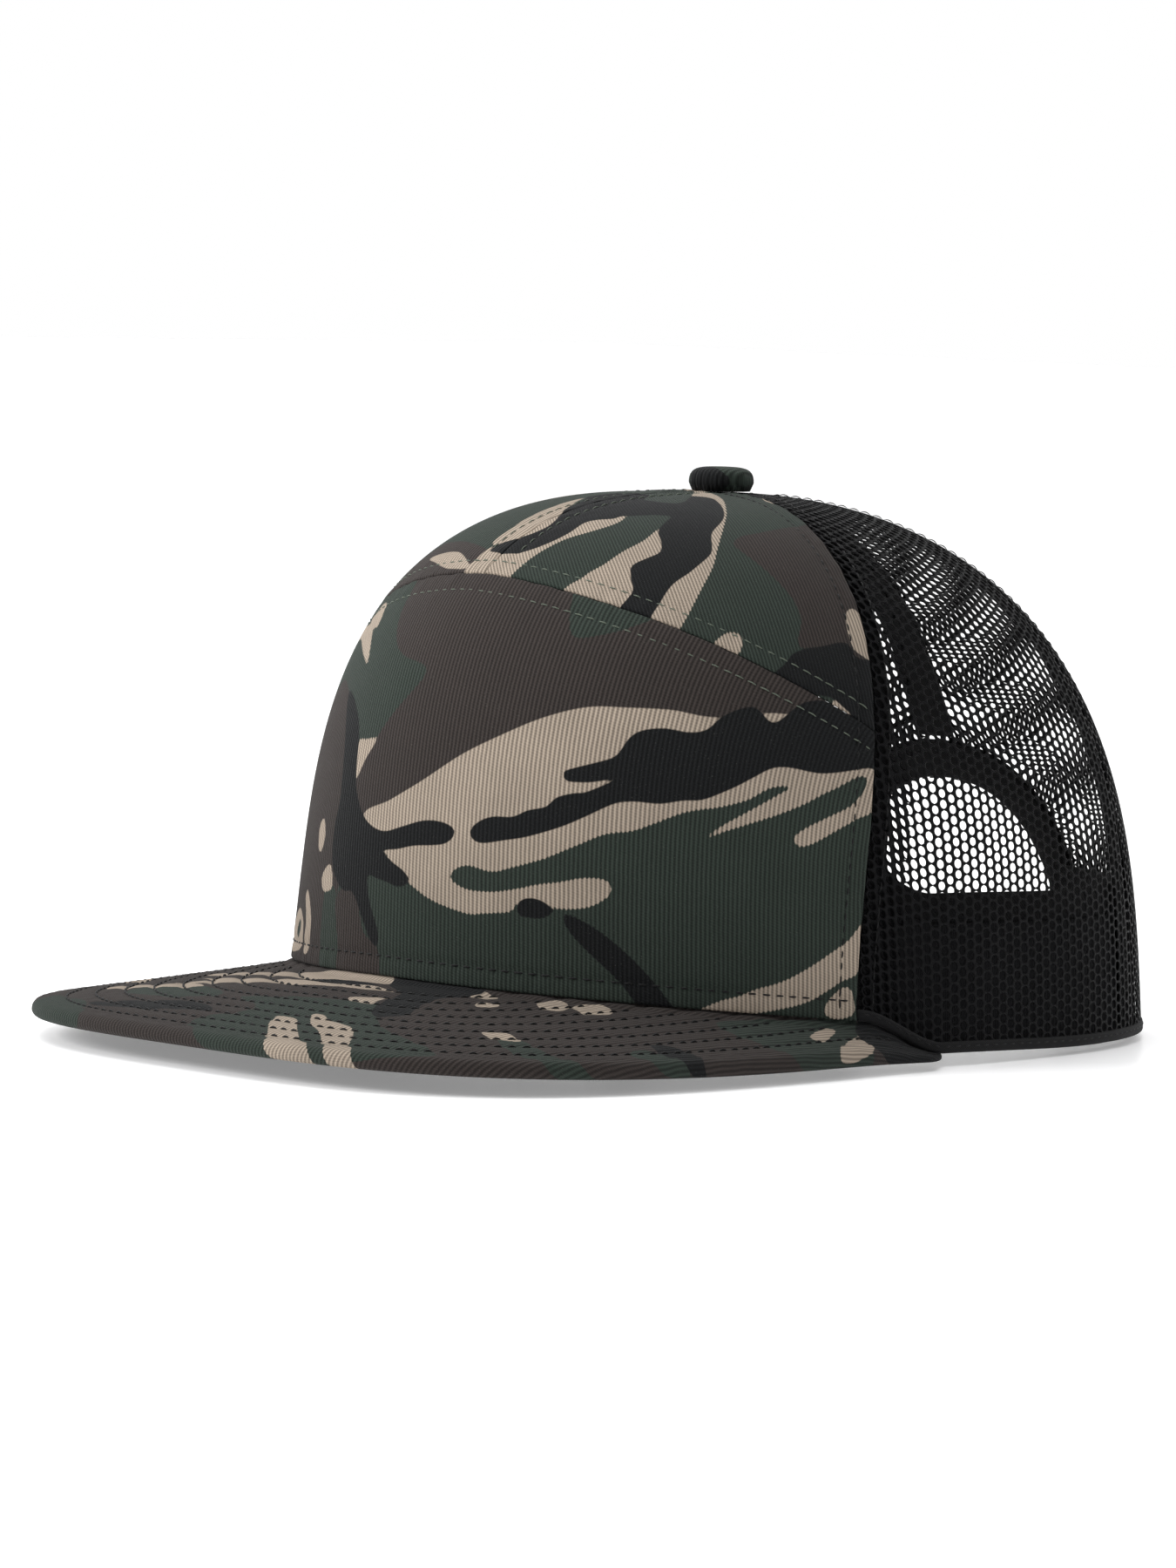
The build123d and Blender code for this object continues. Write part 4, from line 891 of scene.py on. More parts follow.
def netting(name, edges, centre, depth, thickness, replaces=(), arch=False, shift=(0.0, 0.0), seed=11,
            hole=(0.89 * MM, 1.0 * MM)):
    """Net of rounded holes in staggered upright columns, its strands rounded on both faces."""
    left, right, bottom, top = edges
    rises, half = np.linspace(0, 90, MAP_RISES), MAP_TURNS // 2
    spread = np.linspace(-MAP_SPREAD, MAP_SPREAD, MAP_TURNS)
    level = crown_point(centre + spread[None, :], rises[:, None])
    widths = np.linalg.norm(np.diff(level, axis=1), axis=-1)
    across = np.concatenate([np.zeros((MAP_RISES, 1)), np.cumsum(widths, 1)], 1)
    across = across - across[:, half:half + 1]
    climb = np.concatenate([[0], np.cumsum(np.linalg.norm(np.diff(level[:, half], axis=0), axis=-1))])
    reach = np.linspace(-MAP_REACH, MAP_REACH, MAP_COLUMNS)
    turn = np.array([np.interp(reach, row, spread) for row in across])

    def place(a, b):
        r = np.interp(b, climb, rises)
        i = np.clip(r * 2, 0, MAP_RISES - 1.001)
        j = np.clip((a + MAP_REACH) / (2 * MAP_REACH) * (MAP_COLUMNS - 1), 0, MAP_COLUMNS - 1.001)
        i0, j0 = i.astype(int), j.astype(int)
        fi, fj = i - i0, j - j0
        dt = (turn[i0, j0] * (1 - fi) * (1 - fj) + turn[i0 + 1, j0] * fi * (1 - fj)
              + turn[i0, j0 + 1] * (1 - fi) * fj + turn[i0 + 1, j0 + 1] * fi * fj)
        return centre + dt, r

    columns = np.arange(-45, 46)
    rows = np.arange(-2, int(climb[-1] / ROW) + 3)
    ci, rj = np.meshgrid(columns, rows, indexing="ij")
    a0 = ci * COLUMN + shift[0] * COLUMN
    b0 = (rj + 0.5 * (ci % 2)) * ROW + shift[1] * ROW
    a0, b0 = a0.ravel(), b0.ravel()
    t, rise = place(a0, b0)
    keep = (b0 > -ROW / 2) & (b0 < climb[-1]) & (t > left(rise)) & (t < right(rise))
    keep &= (rise > bottom(t) - 0.2) & (rise < top(t))
    if arch:
        p = crown_point(t, rise)
        keep &= (arch_share(p[:, 0], p[:, 2]) > 1) | (p[:, 1] < 0)
    a0, b0 = a0[keep], b0[keep]
    corner_x = (COLUMN ** 2 + ROW ** 2 / 4) / 2
    cx, sx = (corner_x - ROW ** 2 / 4) / COLUMN, corner_x / COLUMN
    corners = np.array([(sx, 0), (cx, ROW / 2), (-cx, ROW / 2), (-sx, 0), (-cx, -ROW / 2), (cx, -ROW / 2)])
    cell = np.empty((CORNERS, 2))
    cell[0::2] = corners
    cell[1::2] = (corners + np.roll(corners, -1, 0)) / 2
    angle = np.arctan2(cell[:, 1] / hole[1], cell[:, 0] / hole[0])
    rng = np.random.default_rng(seed)
    stretch = rng.uniform(0.93, 1.06, (len(a0), 1))
    opening = np.stack([np.cos(angle) * hole[0], np.sin(angle) * hole[1]], -1)
    a_cell, b_cell = a0[:, None] + cell[:, 0], b0[:, None] + cell[:, 1]
    a_hole = a0[:, None] + opening[:, 0] * stretch
    b_hole = b0[:, None] + opening[:, 1] * stretch
    key = np.stack([np.round(a_cell.ravel() * 2e5), np.round(b_cell.ravel() * 2e5)], -1).astype(int)
    key, first, ids = np.unique(key, axis=0, return_index=True, return_inverse=True)
    ids = ids.reshape(-1, CORNERS)
    a_rim, b_rim = a_cell.ravel()[first], b_cell.ravel()[first]

    def on_crown(a, b, d):
        t, rise = place(a, b)
        for _ in range(2):
            t = np.clip(t, left(rise), right(rise))
            rise = np.clip(rise, bottom(t), top(t))
        if arch:
            p = crown_point(t, rise)
            share = arch_share(p[..., 0], p[..., 2])
            bad = (share < 1) & (p[..., 1] > 0)
            if bad.any():
                x, z = p[bad, 0] / share[bad], p[bad, 2] / share[bad]
                t[bad], rise[bad] = back_place(x, z)
        return shell(t, rise, depth + thickness * d)

    wave = 0.05 * MM * np.sin(b_rim * 2 * math.pi / ROW + a_rim * 900)
    share = MIDDLE_SHARE
    a_mid = (a_hole * share + a_cell * (1 - share)).ravel()
    b_mid = (b_hole * share + b_cell * (1 - share)).ravel()
    a_hole, b_hole = a_hole.ravel(), b_hole.ravel()
    rings = ((a_rim + wave, b_rim, RIM_LEVEL), (a_rim + wave, b_rim, 1 - RIM_LEVEL),
             (a_mid, b_mid, MIDDLE_LEVEL), (a_mid, b_mid, 1 - MIDDLE_LEVEL), (a_hole, b_hole, 0.5))
    points = np.concatenate([on_crown(*ring) for ring in rings])
    n, m = len(a_rim), len(a0) * CORNERS
    cells = np.arange(len(a0))[:, None] * CORNERS + np.arange(CORNERS)
    after = np.roll(np.arange(CORNERS), -1)
    quads = []
    front, back, hole_ring = 2 * n + cells, 2 * n + m + cells, 2 * n + 2 * m + cells
    for outer, inner, flip in ((ids, front, False), (front, hole_ring, False),
                               (n + ids, back, True), (back, hole_ring, True)):
        q = np.stack([outer, outer[:, after], inner[:, after], inner], -1).reshape(-1, 4)
        quads.append(q[:, ::-1] if flip else q)
    quads = np.concatenate(quads)
    # the outline of the kept cells is open between the two faces, so it gets a wall
    ring = np.stack([ids, ids[:, after]], -1).reshape(-1, 2)
    pair = ring.min(1) * n + ring.max(1)
    _, where, count = np.unique(pair, return_index=True, return_counts=True)
    lone = ring[where[count == 1]]
    walls = np.stack([lone[:, 1], lone[:, 0], lone[:, 0] + n, lone[:, 1] + n], -1)
    quads = np.concatenate([quads, walls])
    weave = np.concatenate([np.stack([a, b, 0 * a], -1) for a, b in (
        (a_rim, b_rim), (a_rim, b_rim), (a_mid, b_mid), (a_mid, b_mid), (a_hole, b_hole))])
    return add_piece(name, points, quads.tolist(), net, replaces, fields={"weave": weave})


hem = at_height(1.2 * MM)
net_top = at_pole(POLE_HOLE)
side_edges = (aside(front_seam, GAP), aside(straight(SIDE_BACK_SEAM), -GAP), hem, net_top)
back_edges = (aside(straight(SIDE_BACK_SEAM), GAP), aside(straight(180), -GAP), hem, net_top)
allowance_edges = (aside(front_seam, GAP), aside(front_seam, ALLOWANCE_WIDTH), hem, net_top)
for side, sign in SIDES:
    netting("side_net_" + side, on_side(side_edges, sign), sign * SIDE_NET_CENTRE, NET_DEPTH, NET_THICKNESS,
            ["side_mesh_" + side])
    netting("back_net_" + side, on_side(back_edges, sign), sign * BACK_NET_CENTRE, NET_DEPTH, NET_THICKNESS,
            ["back_mesh_" + side], arch=True, seed=12)
    netting("front_seam_allowance_" + side, on_side(allowance_edges, sign), sign * SIDE_NET_CENTRE,
            ALLOWANCE_DEPTH, ALLOWANCE_THICKNESS, shift=(0.5, 0.28), seed=13)

# ---------------------------------------------------------------- stiffening, tapes and bindings
BUCKRAM_DEPTH, FRONT_TAPE_DEPTH, MESH_TAPE_DEPTH = 0.95 * MM, 1.7 * MM, 0.95 * MM
BUCKRAM_THICKNESS = TAPE_THICKNESS = 0.6 * MM
TAPE, INSET = 5.5 * MM, 1.5 * MM
inset = aside(front_seam, -INSET)


def soft_relief(seed, amount=0.06 * MM):
    return lambda d, t, rise: -amount * waves(seed, t * 0.4, rise * 0.5)


cloth("front_buckram_cloth", (mirrored(inset), inset, panel_foot, lifted(yoke_seam, -INSET)), BUCKRAM_DEPTH,
      BUCKRAM_THICKNESS, buckram_cloth, ["front_buckram"], FRONT_SIZE, 3 * MM, soft_relief(21))
upper_inset = (aside(straight(0), INSET), inset, lifted(yoke_seam, INSET), panel_top)
for side, sign in SIDES:
    cloth("upper_buckram_cloth_" + side, on_side(upper_inset, sign), BUCKRAM_DEPTH, BUCKRAM_THICKNESS,
          buckram_cloth, ["upper_buckram_" + side], UPPER_SIZE, 2.5 * MM,
          soft_relief(22 if sign > 0 else 23))


def tape_relief(seed):
    def relief(d, t, rise):
        edge = np.minimum(d[0], d[1])
        return dimple(edge, 1.4 * MM, 0.12 * MM, 0.7 * MM) - 0.05 * MM * waves(seed, rise * 2.0, t * 0.5)
    return relief


hem_top = at_height(2.8 * MM)
nearest_seams = min(FRONT_SEAM_TOP, SIDE_BACK_SEAM - FRONT_SEAM_TOP, 180 - SIDE_BACK_SEAM)
tape_top = at_pole(TAPE / math.tan(math.radians(nearest_seams / 2)) + 1.5 * MM)


def upright_tape(name, node, seam, bottom, depth, seed):
    cloth(name, (aside(seam, -TAPE), aside(seam, TAPE), bottom, tape_top), depth, TAPE_THICKNESS, tape_cloth,
          [node], (2 * TAPE, 0.11), 1.6 * MM, tape_relief(seed), roll=0.35)


for side, sign in SIDES:
    upright_tape("front_side_tape_" + side, "front_side_seam_tape_" + side,
                 sided(front_seam, sign), hem_top, FRONT_TAPE_DEPTH, 31)
    upright_tape("side_back_tape_" + side, "side_back_seam_tape_" + side,
                 straight(sign * SIDE_BACK_SEAM), hem_top, MESH_TAPE_DEPTH, 32)
upright_tape("back_centre_tape", "back_centre_seam_tape", straight(180),
             at_height(ARCH_HEIGHT + BINDING_WIDTH + 1.5 * MM), MESH_TAPE_DEPTH, 33)
upright_tape("front_centre_tape", "front_centre_seam_tape", straight(0),
             lifted(yoke_seam, 2 * TAPE), FRONT_TAPE_DEPTH, 34)
yoke_end = float(front_seam(YOKE_SIDE)) - 12.5 * MM / float(
    np.linalg.norm(crown_frame(FRONT_SEAM_TOP, YOKE_SIDE)[2]))
yoke_edges = (straight(-yoke_end), straight(yoke_end), lifted(yoke_seam, -TAPE), lifted(yoke_seam, TAPE))
cloth("yoke_tape", yoke_edges, FRONT_TAPE_DEPTH, TAPE_THICKNESS, tape_cloth,
      ["yoke_seam_tape"], (0.15, 2 * TAPE), 1.6 * MM,
      lambda d, t, rise: dimple(np.minimum(d[2], d[3]), 1.4 * MM, 0.12 * MM, 0.7 * MM), roll=0.35)

band_end = float(back_place(ARCH_HALF_WIDTH + 1.5 * MM, 0)[0])


def profile_strip(name, t_values, profile, material, replaces, seed, places=None):
    """Closed strip around the crown. The profile gives (height above the rim, depth) around its section,
    in millimetres. With places, that function turns t_values and a height into azimuth and rise."""
    profile = np.array(profile, float) * MM
    rng = np.random.default_rng(seed)
    rows = []
    drift = np.interp(np.arange(len(t_values)), np.linspace(0, len(t_values), 40), rng.uniform(-1, 1, 40))
    for high, deep in profile:
        t, rise = places(t_values, high) if places else (t_values, rise_at(t_values, high))
        rows.append(shell(t, rise, deep + drift * 0.04 * MM))
    grid = np.stack(rows, 1)
    length, around_section = (np.concatenate([[0], np.cumsum(np.linalg.norm(np.diff(line, axis=0), axis=-1))])
                              for line in (grid[:, 0], profile))
    weave = np.stack(np.broadcast_arrays(length[:, None], around_section[None, :], 0.0), -1)
    count = len(profile)
    faces = []
    for i in range(len(t_values) - 1):
        for j in range(count):
            a, b = i * count + j, i * count + (j + 1) % count
            faces.append((a, b, b + count, a + count))
    faces.append(tuple(range(count))[::-1])
    faces.append(tuple((len(t_values) - 1) * count + j for j in range(count)))
    return add_piece(name, grid, faces, material, replaces, fields={"weave": weave.reshape(-1, 3)})


LINING_END = 138
sweat_profile = [(0.7, 3.3), (6, 3.27), (12, 3.25), (20, 3.25), (28, 3.25), (33.5, 3.3), (34.4, 3.5),
                 (34.6, 3.9), (34.2, 4.3), (33.2, 4.45), (32.6, 4.25), (31.8, 4.5), (29, 4.75), (24, 4.95),
                 (18, 5.0), (12, 4.95), (7, 4.75), (4.6, 4.5), (3.8, 4.2), (3.0, 4.4), (1.6, 4.4),
                 (0.8, 4.1), (0.6, 3.7)]
profile_strip("sweatband_cloth", np.linspace(-band_end, band_end, 260), sweat_profile, black_twill,
              ["sweatband"], seed=42)
profile_strip("lining_cloth", np.linspace(-LINING_END, LINING_END, 220),
              [(0.7, 2.55), (10, 2.53), (20, 2.53), (27.6, 2.55), (28, 2.8), (27.6, 3.0), (14, 3.02),
               (0.7, 3.0)],
              lining_cloth, ["sweatband_lining"], seed=43)

arch_side = float(back_place(ARCH_HALF_WIDTH, 0)[0])
rim_profile = [(0.05, 1.1), (0.0, 0.6), (0.1, 0.05), (0.5, -0.16), (1.2, -0.2), (1.5, -0.12), (1.8, -0.18),
               (2.3, -0.12), (2.5, 0.1), (2.5, 0.7), (2.45, 1.25), (1.9, 1.4), (0.9, 1.4), (0.25, 1.32)]
for side, sign in SIDES:
    t_values = sign * np.linspace(FRONT_SEAM_RIM, arch_side, 220)
    strip_t = t_values if sign > 0 else t_values[::-1]
    profile_strip("rim_tape_" + side, strip_t, rim_profile, tape_cloth,
                  ["rim_binding_" + side], seed=44)

arch_angles = np.linspace(3.3, 176.7, 150)


def arch_places(angles, offset):
    a = np.radians(angles)
    size = (np.abs(np.cos(a)) ** ARCH_POWER + np.abs(np.sin(a)) ** ARCH_POWER) ** (-1 / ARCH_POWER)
    x = (ARCH_HALF_WIDTH + offset) * size * np.cos(a)
    z = np.maximum((ARCH_HEIGHT + offset) * size * np.sin(a), 2.8 * MM)
    return back_place(x, z)


arch_profile = [(9.0, -0.08), (8.8, -0.42), (7.6, -0.5), (7.0, -0.4), (6.4, -0.5), (3.0, -0.52), (1.0, -0.48),
                (0.6, -0.3), (0.35, 0.3), (0.45, 1.1), (0.9, 1.5), (3.0, 1.6), (6.4, 1.58), (7.0, 1.46),
                (7.6, 1.58), (8.8, 1.5), (9.0, 1.2), (8.8, 0.93), (4.0, 0.9), (1.3, 0.88), (1.0, 0.6),
                (1.0, 0.2), (1.3, -0.05), (4.0, -0.07)]
profile_strip("arch_tape", arch_angles[::-1], arch_profile, tape_cloth, ["arch_binding"],
              places=arch_places, seed=45)

# ---------------------------------------------------------------- brim
BRIM_CLOTH, SWELL_CLEAR, FLAP = 0.7 * MM, 0.04 * MM, 2.4 * MM


def brim_outline(angle, inset=0.0):
    """Azimuth, radius and edge height of the brim's outline at an angle about its widest place."""
    c, s = np.cos(np.radians(angle)), np.sin(np.radians(angle))
    reach = np.where(c > 0, BRIM_REACH - BRIM_WIDEST, BRIM_TAIL) - inset
    power = np.where(c > 0, BRIM_POWER, 2.0)
    size = (np.abs(c / reach) ** power + np.abs(s / (BRIM_HALF_WIDTH - inset)) ** power) ** (-1 / power)
    x, y = size * s, -BRIM_WIDEST - size * c
    forward = np.maximum(-y - BRIM_WIDEST, 0) / (BRIM_REACH - BRIM_WIDEST)
    lift = BRIM_LIFT_SIDE + (BRIM_LIFT_FRONT - BRIM_LIFT_SIDE) * forward ** BRIM_LIFT_POWER
    return np.degrees(np.arctan2(x, -y)), np.hypot(x, y), lift


def brim_end():
    low, high = 90.0, 170.0
    for _ in range(40):
        middle = (low + high) / 2
        t, radius, _ = brim_outline(middle)
        low, high = (middle, high) if radius > plan_radius(t) else (low, middle)
    return low


BRIM_END = brim_end()
outline_angles = np.linspace(-BRIM_END, BRIM_END, 1601)
outline_t, outline_radius, outline_lift = brim_outline(outline_angles)
outline_thick = BRIM_THICKNESS + (TAIL_THICKNESS - BRIM_THICKNESS) * smooth(
    (np.abs(outline_angles) - BRIM_END + TAIL_ANGLE) / TAIL_ANGLE)
outline_inner = plan_radius(outline_t) - BRIM_INNER_DEPTH


def brim_place(t, share, level):
    """Point of the brim at an azimuth: share 0 at the crown, 1 at the edge; level 0 on top, 1 below."""
    radius, lift, thick, inner = (np.interp(t, outline_t, values) for values in (
        outline_radius, outline_lift, outline_thick, outline_inner))
    rho = inner + (radius - inner) * share
    top_in, top_out = rim_height(t) - BRIM_GAP, lift + thick
    z = top_in + (top_out - top_in) * share - thick * level
    return np.stack([rho * np.sin(np.radians(t)), -rho * np.cos(np.radians(t)), z], -1)


ROWS = [6.6 * MM + 5.6 * MM * k for k in range(9)]


def row_inset(x, y):
    """How far in from the edge a place lies, by the brim's outline drawn in evenly."""
    low, high = np.zeros_like(x), np.full_like(x, 0.085)
    forward = np.maximum(-y - BRIM_WIDEST, 0)
    for _ in range(26):
        middle = (low + high) / 2
        outside = ((forward / (BRIM_REACH - BRIM_WIDEST - middle)) ** BRIM_POWER
                   + (np.abs(x) / np.maximum(BRIM_HALF_WIDTH - middle, 0.001)) ** BRIM_POWER) > 1
        low, high = np.where(outside, low, middle), np.where(outside, middle, high)
    return low


def brim_grooves(points):
    inset = row_inset(points[..., 0], points[..., 1])
    sink = 0
    for row in ROWS:
        sink = sink + 0.36 * MM * np.exp(-((inset - row) / (0.95 * MM)) ** 2)
    swell = 0.05 * MM * waves(51, points[..., 0] * 900, points[..., 1] * 900)
    return sink - swell


def arc_spaced(count):
    """Azimuths evenly spaced along the brim's outline."""
    turn = np.radians(outline_t)
    p = np.stack([outline_radius * np.sin(turn), outline_radius * np.cos(turn)], -1)
    length = np.concatenate([[0], np.cumsum(np.linalg.norm(np.diff(p, axis=0), axis=1))])
    return np.interp(np.linspace(0, length[-1], count), length, outline_t)


def brim_sheet(name, material, node, kind, count, across):
    t = arc_spaced(count)[:, None]
    radius, thick, inner = (np.interp(t, outline_t, v)
                            for v in (outline_radius, outline_thick, outline_inner))
    width = np.maximum(radius - inner, 0.4 * MM)
    turn = 1 - thick / 2 / width
    cover = np.minimum(BRIM_CLOTH, (thick - 0.15 * MM) / 2)
    s = np.linspace(0, 1, across)[None, :]
    nose = np.radians(np.linspace(0, 180, 13))[1:][None, :]

    def skin(inset):
        level_top = inset / thick + 0 * s
        reach = (thick / 2 - inset) / width
        share = np.concatenate([turn * s, turn + reach * np.sin(nose)], 1)
        level = np.concatenate([level_top, 0.5 - (0.5 - inset / thick) * np.cos(nose)], 1)
        return share, level

    if kind == "top":
        share_o, level_o = skin(0 * thick)
        share_i, level_i = skin(cover)
        outer, inside = brim_place(t, share_o, level_o), brim_place(t, share_i, level_i)
        sink = brim_grooves(outer) * smooth((1 - level_o) * 2) * smooth(share_o * width / (1.5 * MM))
        outer[..., 2] -= np.minimum(sink, cover * 0.6)
        # the cloth swells up against the crown's edge
        past = share_o * width - BRIM_INNER_DEPTH
        swell = (BRIM_GAP - SWELL_CLEAR) * (1 - smooth((past - 0.2 * MM) / (1.6 * MM)))
        swell = swell * smooth(share_o * width / (1.2 * MM))
        outer[..., 2] += np.where(level_o < 0.01, swell, 0)
        # inside the crown the cover turns up, where it is sewn in
        flap = FLAP * (1 - smooth(share_o * width / (1.5 * MM)))
        outer[..., 2] += flap
        inside[..., 2] += flap
        grids = (outer, inside)
    else:
        stop = turn - 0.15 * MM / width
        outer = brim_place(t, stop * s, 1 + 0 * s)
        inside = brim_place(t, stop * s, 1 - cover / thick + 0 * s)
        sink = brim_grooves(outer) * smooth(stop * s * width / (1.5 * MM))
        outer[..., 2] += np.minimum(sink, cover * 0.6)
        grids = (inside, outer)
    points, faces = slab(*grids)
    values = {"weave": points * np.array([1, -1, 0])}
    if kind == "top":
        edge = grids[0]
        lengths = np.linalg.norm(np.diff(edge, axis=1), axis=-1)
        run = np.concatenate([np.zeros((len(edge), 1)), np.cumsum(lengths, 1)], 1)
        # past the turn of the edge the print runs on as the cloth does
        beyond = np.maximum(run - (turn * width), 0)[..., None]
        out = np.stack([np.sin(np.radians(t)), np.cos(np.radians(t))], -1)
        flat = np.where(beyond > 0, (outline_flat(t, turn) + out * beyond) * 1000,
                        edge[..., :2] * np.array([1, -1]) * 1000)
        print_fields = painted(BRIM_PRINT, flat[..., 0].ravel(), flat[..., 1].ravel())
        values.update((label, np.concatenate([part, part])) for label, part in print_fields.items())
        weave = np.concatenate([flat.reshape(-1, 2) * MM, np.zeros((flat[..., 0].size, 1))], 1)
        values["weave"] = np.concatenate([weave, weave])
    return add_piece(name, points, faces, material, [node], fields=values)


def outline_flat(t, turn):
    p = brim_place(t, turn, 0 * turn)
    return np.stack([p[..., 0], -p[..., 1]], -1)


brim_sheet("brim_top_cloth", camo_brim, "brim_top_cover", "top", 370, 118)
brim_sheet("brim_under_cloth", black_twill, "brim_under_cover", "under", 300, 110)


def brim_rows(level):
    """Rows of stitches on the brim's top at level 0, or on its underside at 1."""
    rows = []
    for row in ROWS:
        angle = np.linspace(-100, 100, 1200)
        t, radius, _ = brim_outline(angle, row)
        edge = np.interp(t, outline_t, outline_radius)
        inner = np.interp(t, outline_t, outline_inner)
        share = (radius - inner) / (edge - inner)
        good = (share * (edge - inner) > 3.6 * MM) & (np.abs(t) < 74)
        for part in np.split(np.arange(len(t)), np.where(np.diff(good.astype(int)) != 0)[0] + 1):
            if len(part) < 8 or not good[part[0]]:
                continue
            points = brim_place(t[part], share[part], level + 0 * share[part])
            lean = (brim_place(t[part], np.minimum(share[part] + 0.02, 1), level + 0 * share[part])
                    - points)
            along = np.gradient(points, axis=0)
            normal = unit(np.cross(lean, along))
            normal = np.where(normal[:, 2:] < 0, -normal, normal) * (1 if level < 0.5 else -1)
            rows.append((points - normal * 0.25 * MM, normal))
    return rows


for label, level, radius, seed in (("top", 0.0, 0.24 * MM, 61), ("under", 1.0, 0.2 * MM, 62)):
    sewn("brim_stitches_" + label, brim_rows(level), black_thread, 3.1 * MM, 2.3 * MM, radius,
         seed)

# ---------------------------------------------------------------- stitching of the crown
yoke_t = float(front_seam(YOKE_SIDE)) - 0.6
sewn("yoke_stitches", [level_row(lifted(yoke_seam, YOKE_ROW_ABOVE), -yoke_t, yoke_t, 0.18 * MM),
                       level_row(lifted(yoke_seam, -YOKE_ROW_BELOW), -yoke_t, yoke_t, 0.18 * MM)],
     sage_thread, 2.9 * MM, 2.35 * MM, 0.15 * MM, seed=71)
centre_top = float(rise_near_pole(0.0, 9 * MM))
centre_rows = [upright_row(aside(straight(0), sign * YOKE_ROW_ABOVE), YOKE_CENTRE + 4, centre_top,
                           0.15 * MM) for sign in (-1, 1)]
sewn("centre_stitches", centre_rows, sage_thread, 2.9 * MM, 2.3 * MM, 0.14 * MM, seed=72)
side_top = float(rise_near_pole(FRONT_SEAM_TOP, 10 * MM))
side_low = float(rise_at(FRONT_SEAM_RIM, 2 * MM))
side_rows = [upright_row(sided(aside(front_seam, -SIDE_ROW), sign), side_low, side_top, 0.18 * MM)
             for sign in (1, -1)]
sewn("side_seam_stitches", side_rows, black_thread, 2.7 * MM, 2.2 * MM, 0.19 * MM, seed=73)
rim_rows = [level_row(at_height(RIM_ROW), -FRONT_SEAM_RIM + 1, FRONT_SEAM_RIM - 1, 0.2 * MM)]
sewn("rim_stitches", rim_rows, black_thread, 3.0 * MM, 2.4 * MM, 0.2 * MM, seed=74)
NET_ROW, NET_ROW_DEPTH, NET_ROW_STOP = 4.0 * MM, -0.05 * MM, 13 * MM
net_rows = []
for sign in (1, -1):
    for shift in (-NET_ROW, NET_ROW):
        net_rows.append(upright_row(sided(aside(straight(SIDE_BACK_SEAM), shift), sign),
                                    float(rise_at(SIDE_BACK_SEAM, 3 * MM)),
                                    float(rise_near_pole(SIDE_BACK_SEAM, NET_ROW_STOP)), NET_ROW_DEPTH))
    net_rows.append(upright_row(sided(aside(front_seam, 3.6 * MM), sign),
                                float(rise_at(FRONT_SEAM_RIM + 3, 3.5 * MM)), side_top, NET_ROW_DEPTH))
    net_rows.append(upright_row(aside(straight(180), sign * NET_ROW), float(rise_at(180, 61 * MM)),
                                float(rise_near_pole(180, NET_ROW_STOP)), NET_ROW_DEPTH))
sewn("net_stitches", net_rows, black_thread, 2.7 * MM, 2.2 * MM, 0.15 * MM, seed=75)
binding_rows = []
for offset, deep in ((7.0, -0.42), (7.0, 1.5)):
    t, rise = arch_places(arch_angles, offset * MM)
    point, normal, _, _ = crown_frame(t, rise)
    binding_rows.append((point - normal * deep * MM, normal * (1 if deep < 0 else -1)))
for sign in (1, -1):
    t = sign * np.linspace(FRONT_SEAM_RIM + 0.5, arch_side - 0.5, 400)
    binding_rows.append(crown_row(t, rise_at(t, 1.5 * MM), -0.1 * MM))
sewn("binding_stitches", binding_rows, black_thread, 2.8 * MM, 2.3 * MM, 0.15 * MM, seed=76)
band_rows = []
for high, deep in ((32.6, 4.3), (3.8, 4.25)):
    t = np.linspace(-band_end + 0.5, band_end - 0.5, 900)
    point, normal, _, _ = crown_frame(t, rise_at(t, high * MM))
    band_rows.append((point - normal * deep * MM, -normal))
sewn("sweatband_stitches", band_rows, black_thread, 3.0 * MM, 2.4 * MM, 0.16 * MM, seed=77)

# ---------------------------------------------------------------- button
low, high = (np.array(corner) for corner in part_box("button_cover"))
button_radius, button_low, button_high = (high[0] - low[0]) / 2, low[2], high[2]
BUTTON_TURNS, BUTTON_STEPS, BUTTON_POWER = 96, 30, 4.2
BUTTON_TUCK, BUTTON_TUCK_TOP, BUTTON_FOOT = 0.11, 0.42, 0.9 * MM
turn = np.linspace(0, 2 * math.pi, BUTTON_TURNS, endpoint=False)
lean = math.pi / 2 * (1 - (1 - np.linspace(0, 1, BUTTON_STEPS)) ** 1.8)
height_share = np.sin(lean) ** (2 / BUTTON_POWER)
tuck = 1 - BUTTON_TUCK * np.clip(1 - height_share / BUTTON_TUCK_TOP, 0, 1) ** 2
radial = (button_radius + 0.1 * MM) * tuck * np.maximum(np.cos(lean), 0) ** (2 / BUTTON_POWER)
upward = button_low + (button_high + 0.06 * MM - button_low) * height_share
pleats = 0.16 * MM * np.cos(turn * 9 + 0.6) + 0.1 * MM * np.cos(turn * 14 + 2)
across = radial[None, :] - np.abs(pleats[:, None]) * np.cos(lean)[None, :] ** 2
outer = np.stack([across * np.cos(turn)[:, None], POLE_Y + across * np.sin(turn)[:, None],
                  np.broadcast_to(upward, across.shape)], -1)
foot = button_radius - BUTTON_FOOT
foot_ring = np.stack([foot * np.cos(turn), POLE_Y + foot * np.sin(turn),
                      np.full(BUTTON_TURNS, button_low + 0.05 * MM)], -1)
inside_ring = foot_ring + np.array([0, 0, 0.8 * MM])
button_points = np.concatenate([foot_ring[:, None], outer], 1)
columns = BUTTON_STEPS + 1
faces = grid_faces(BUTTON_TURNS, columns, closed=True)
start = button_points.size // 3
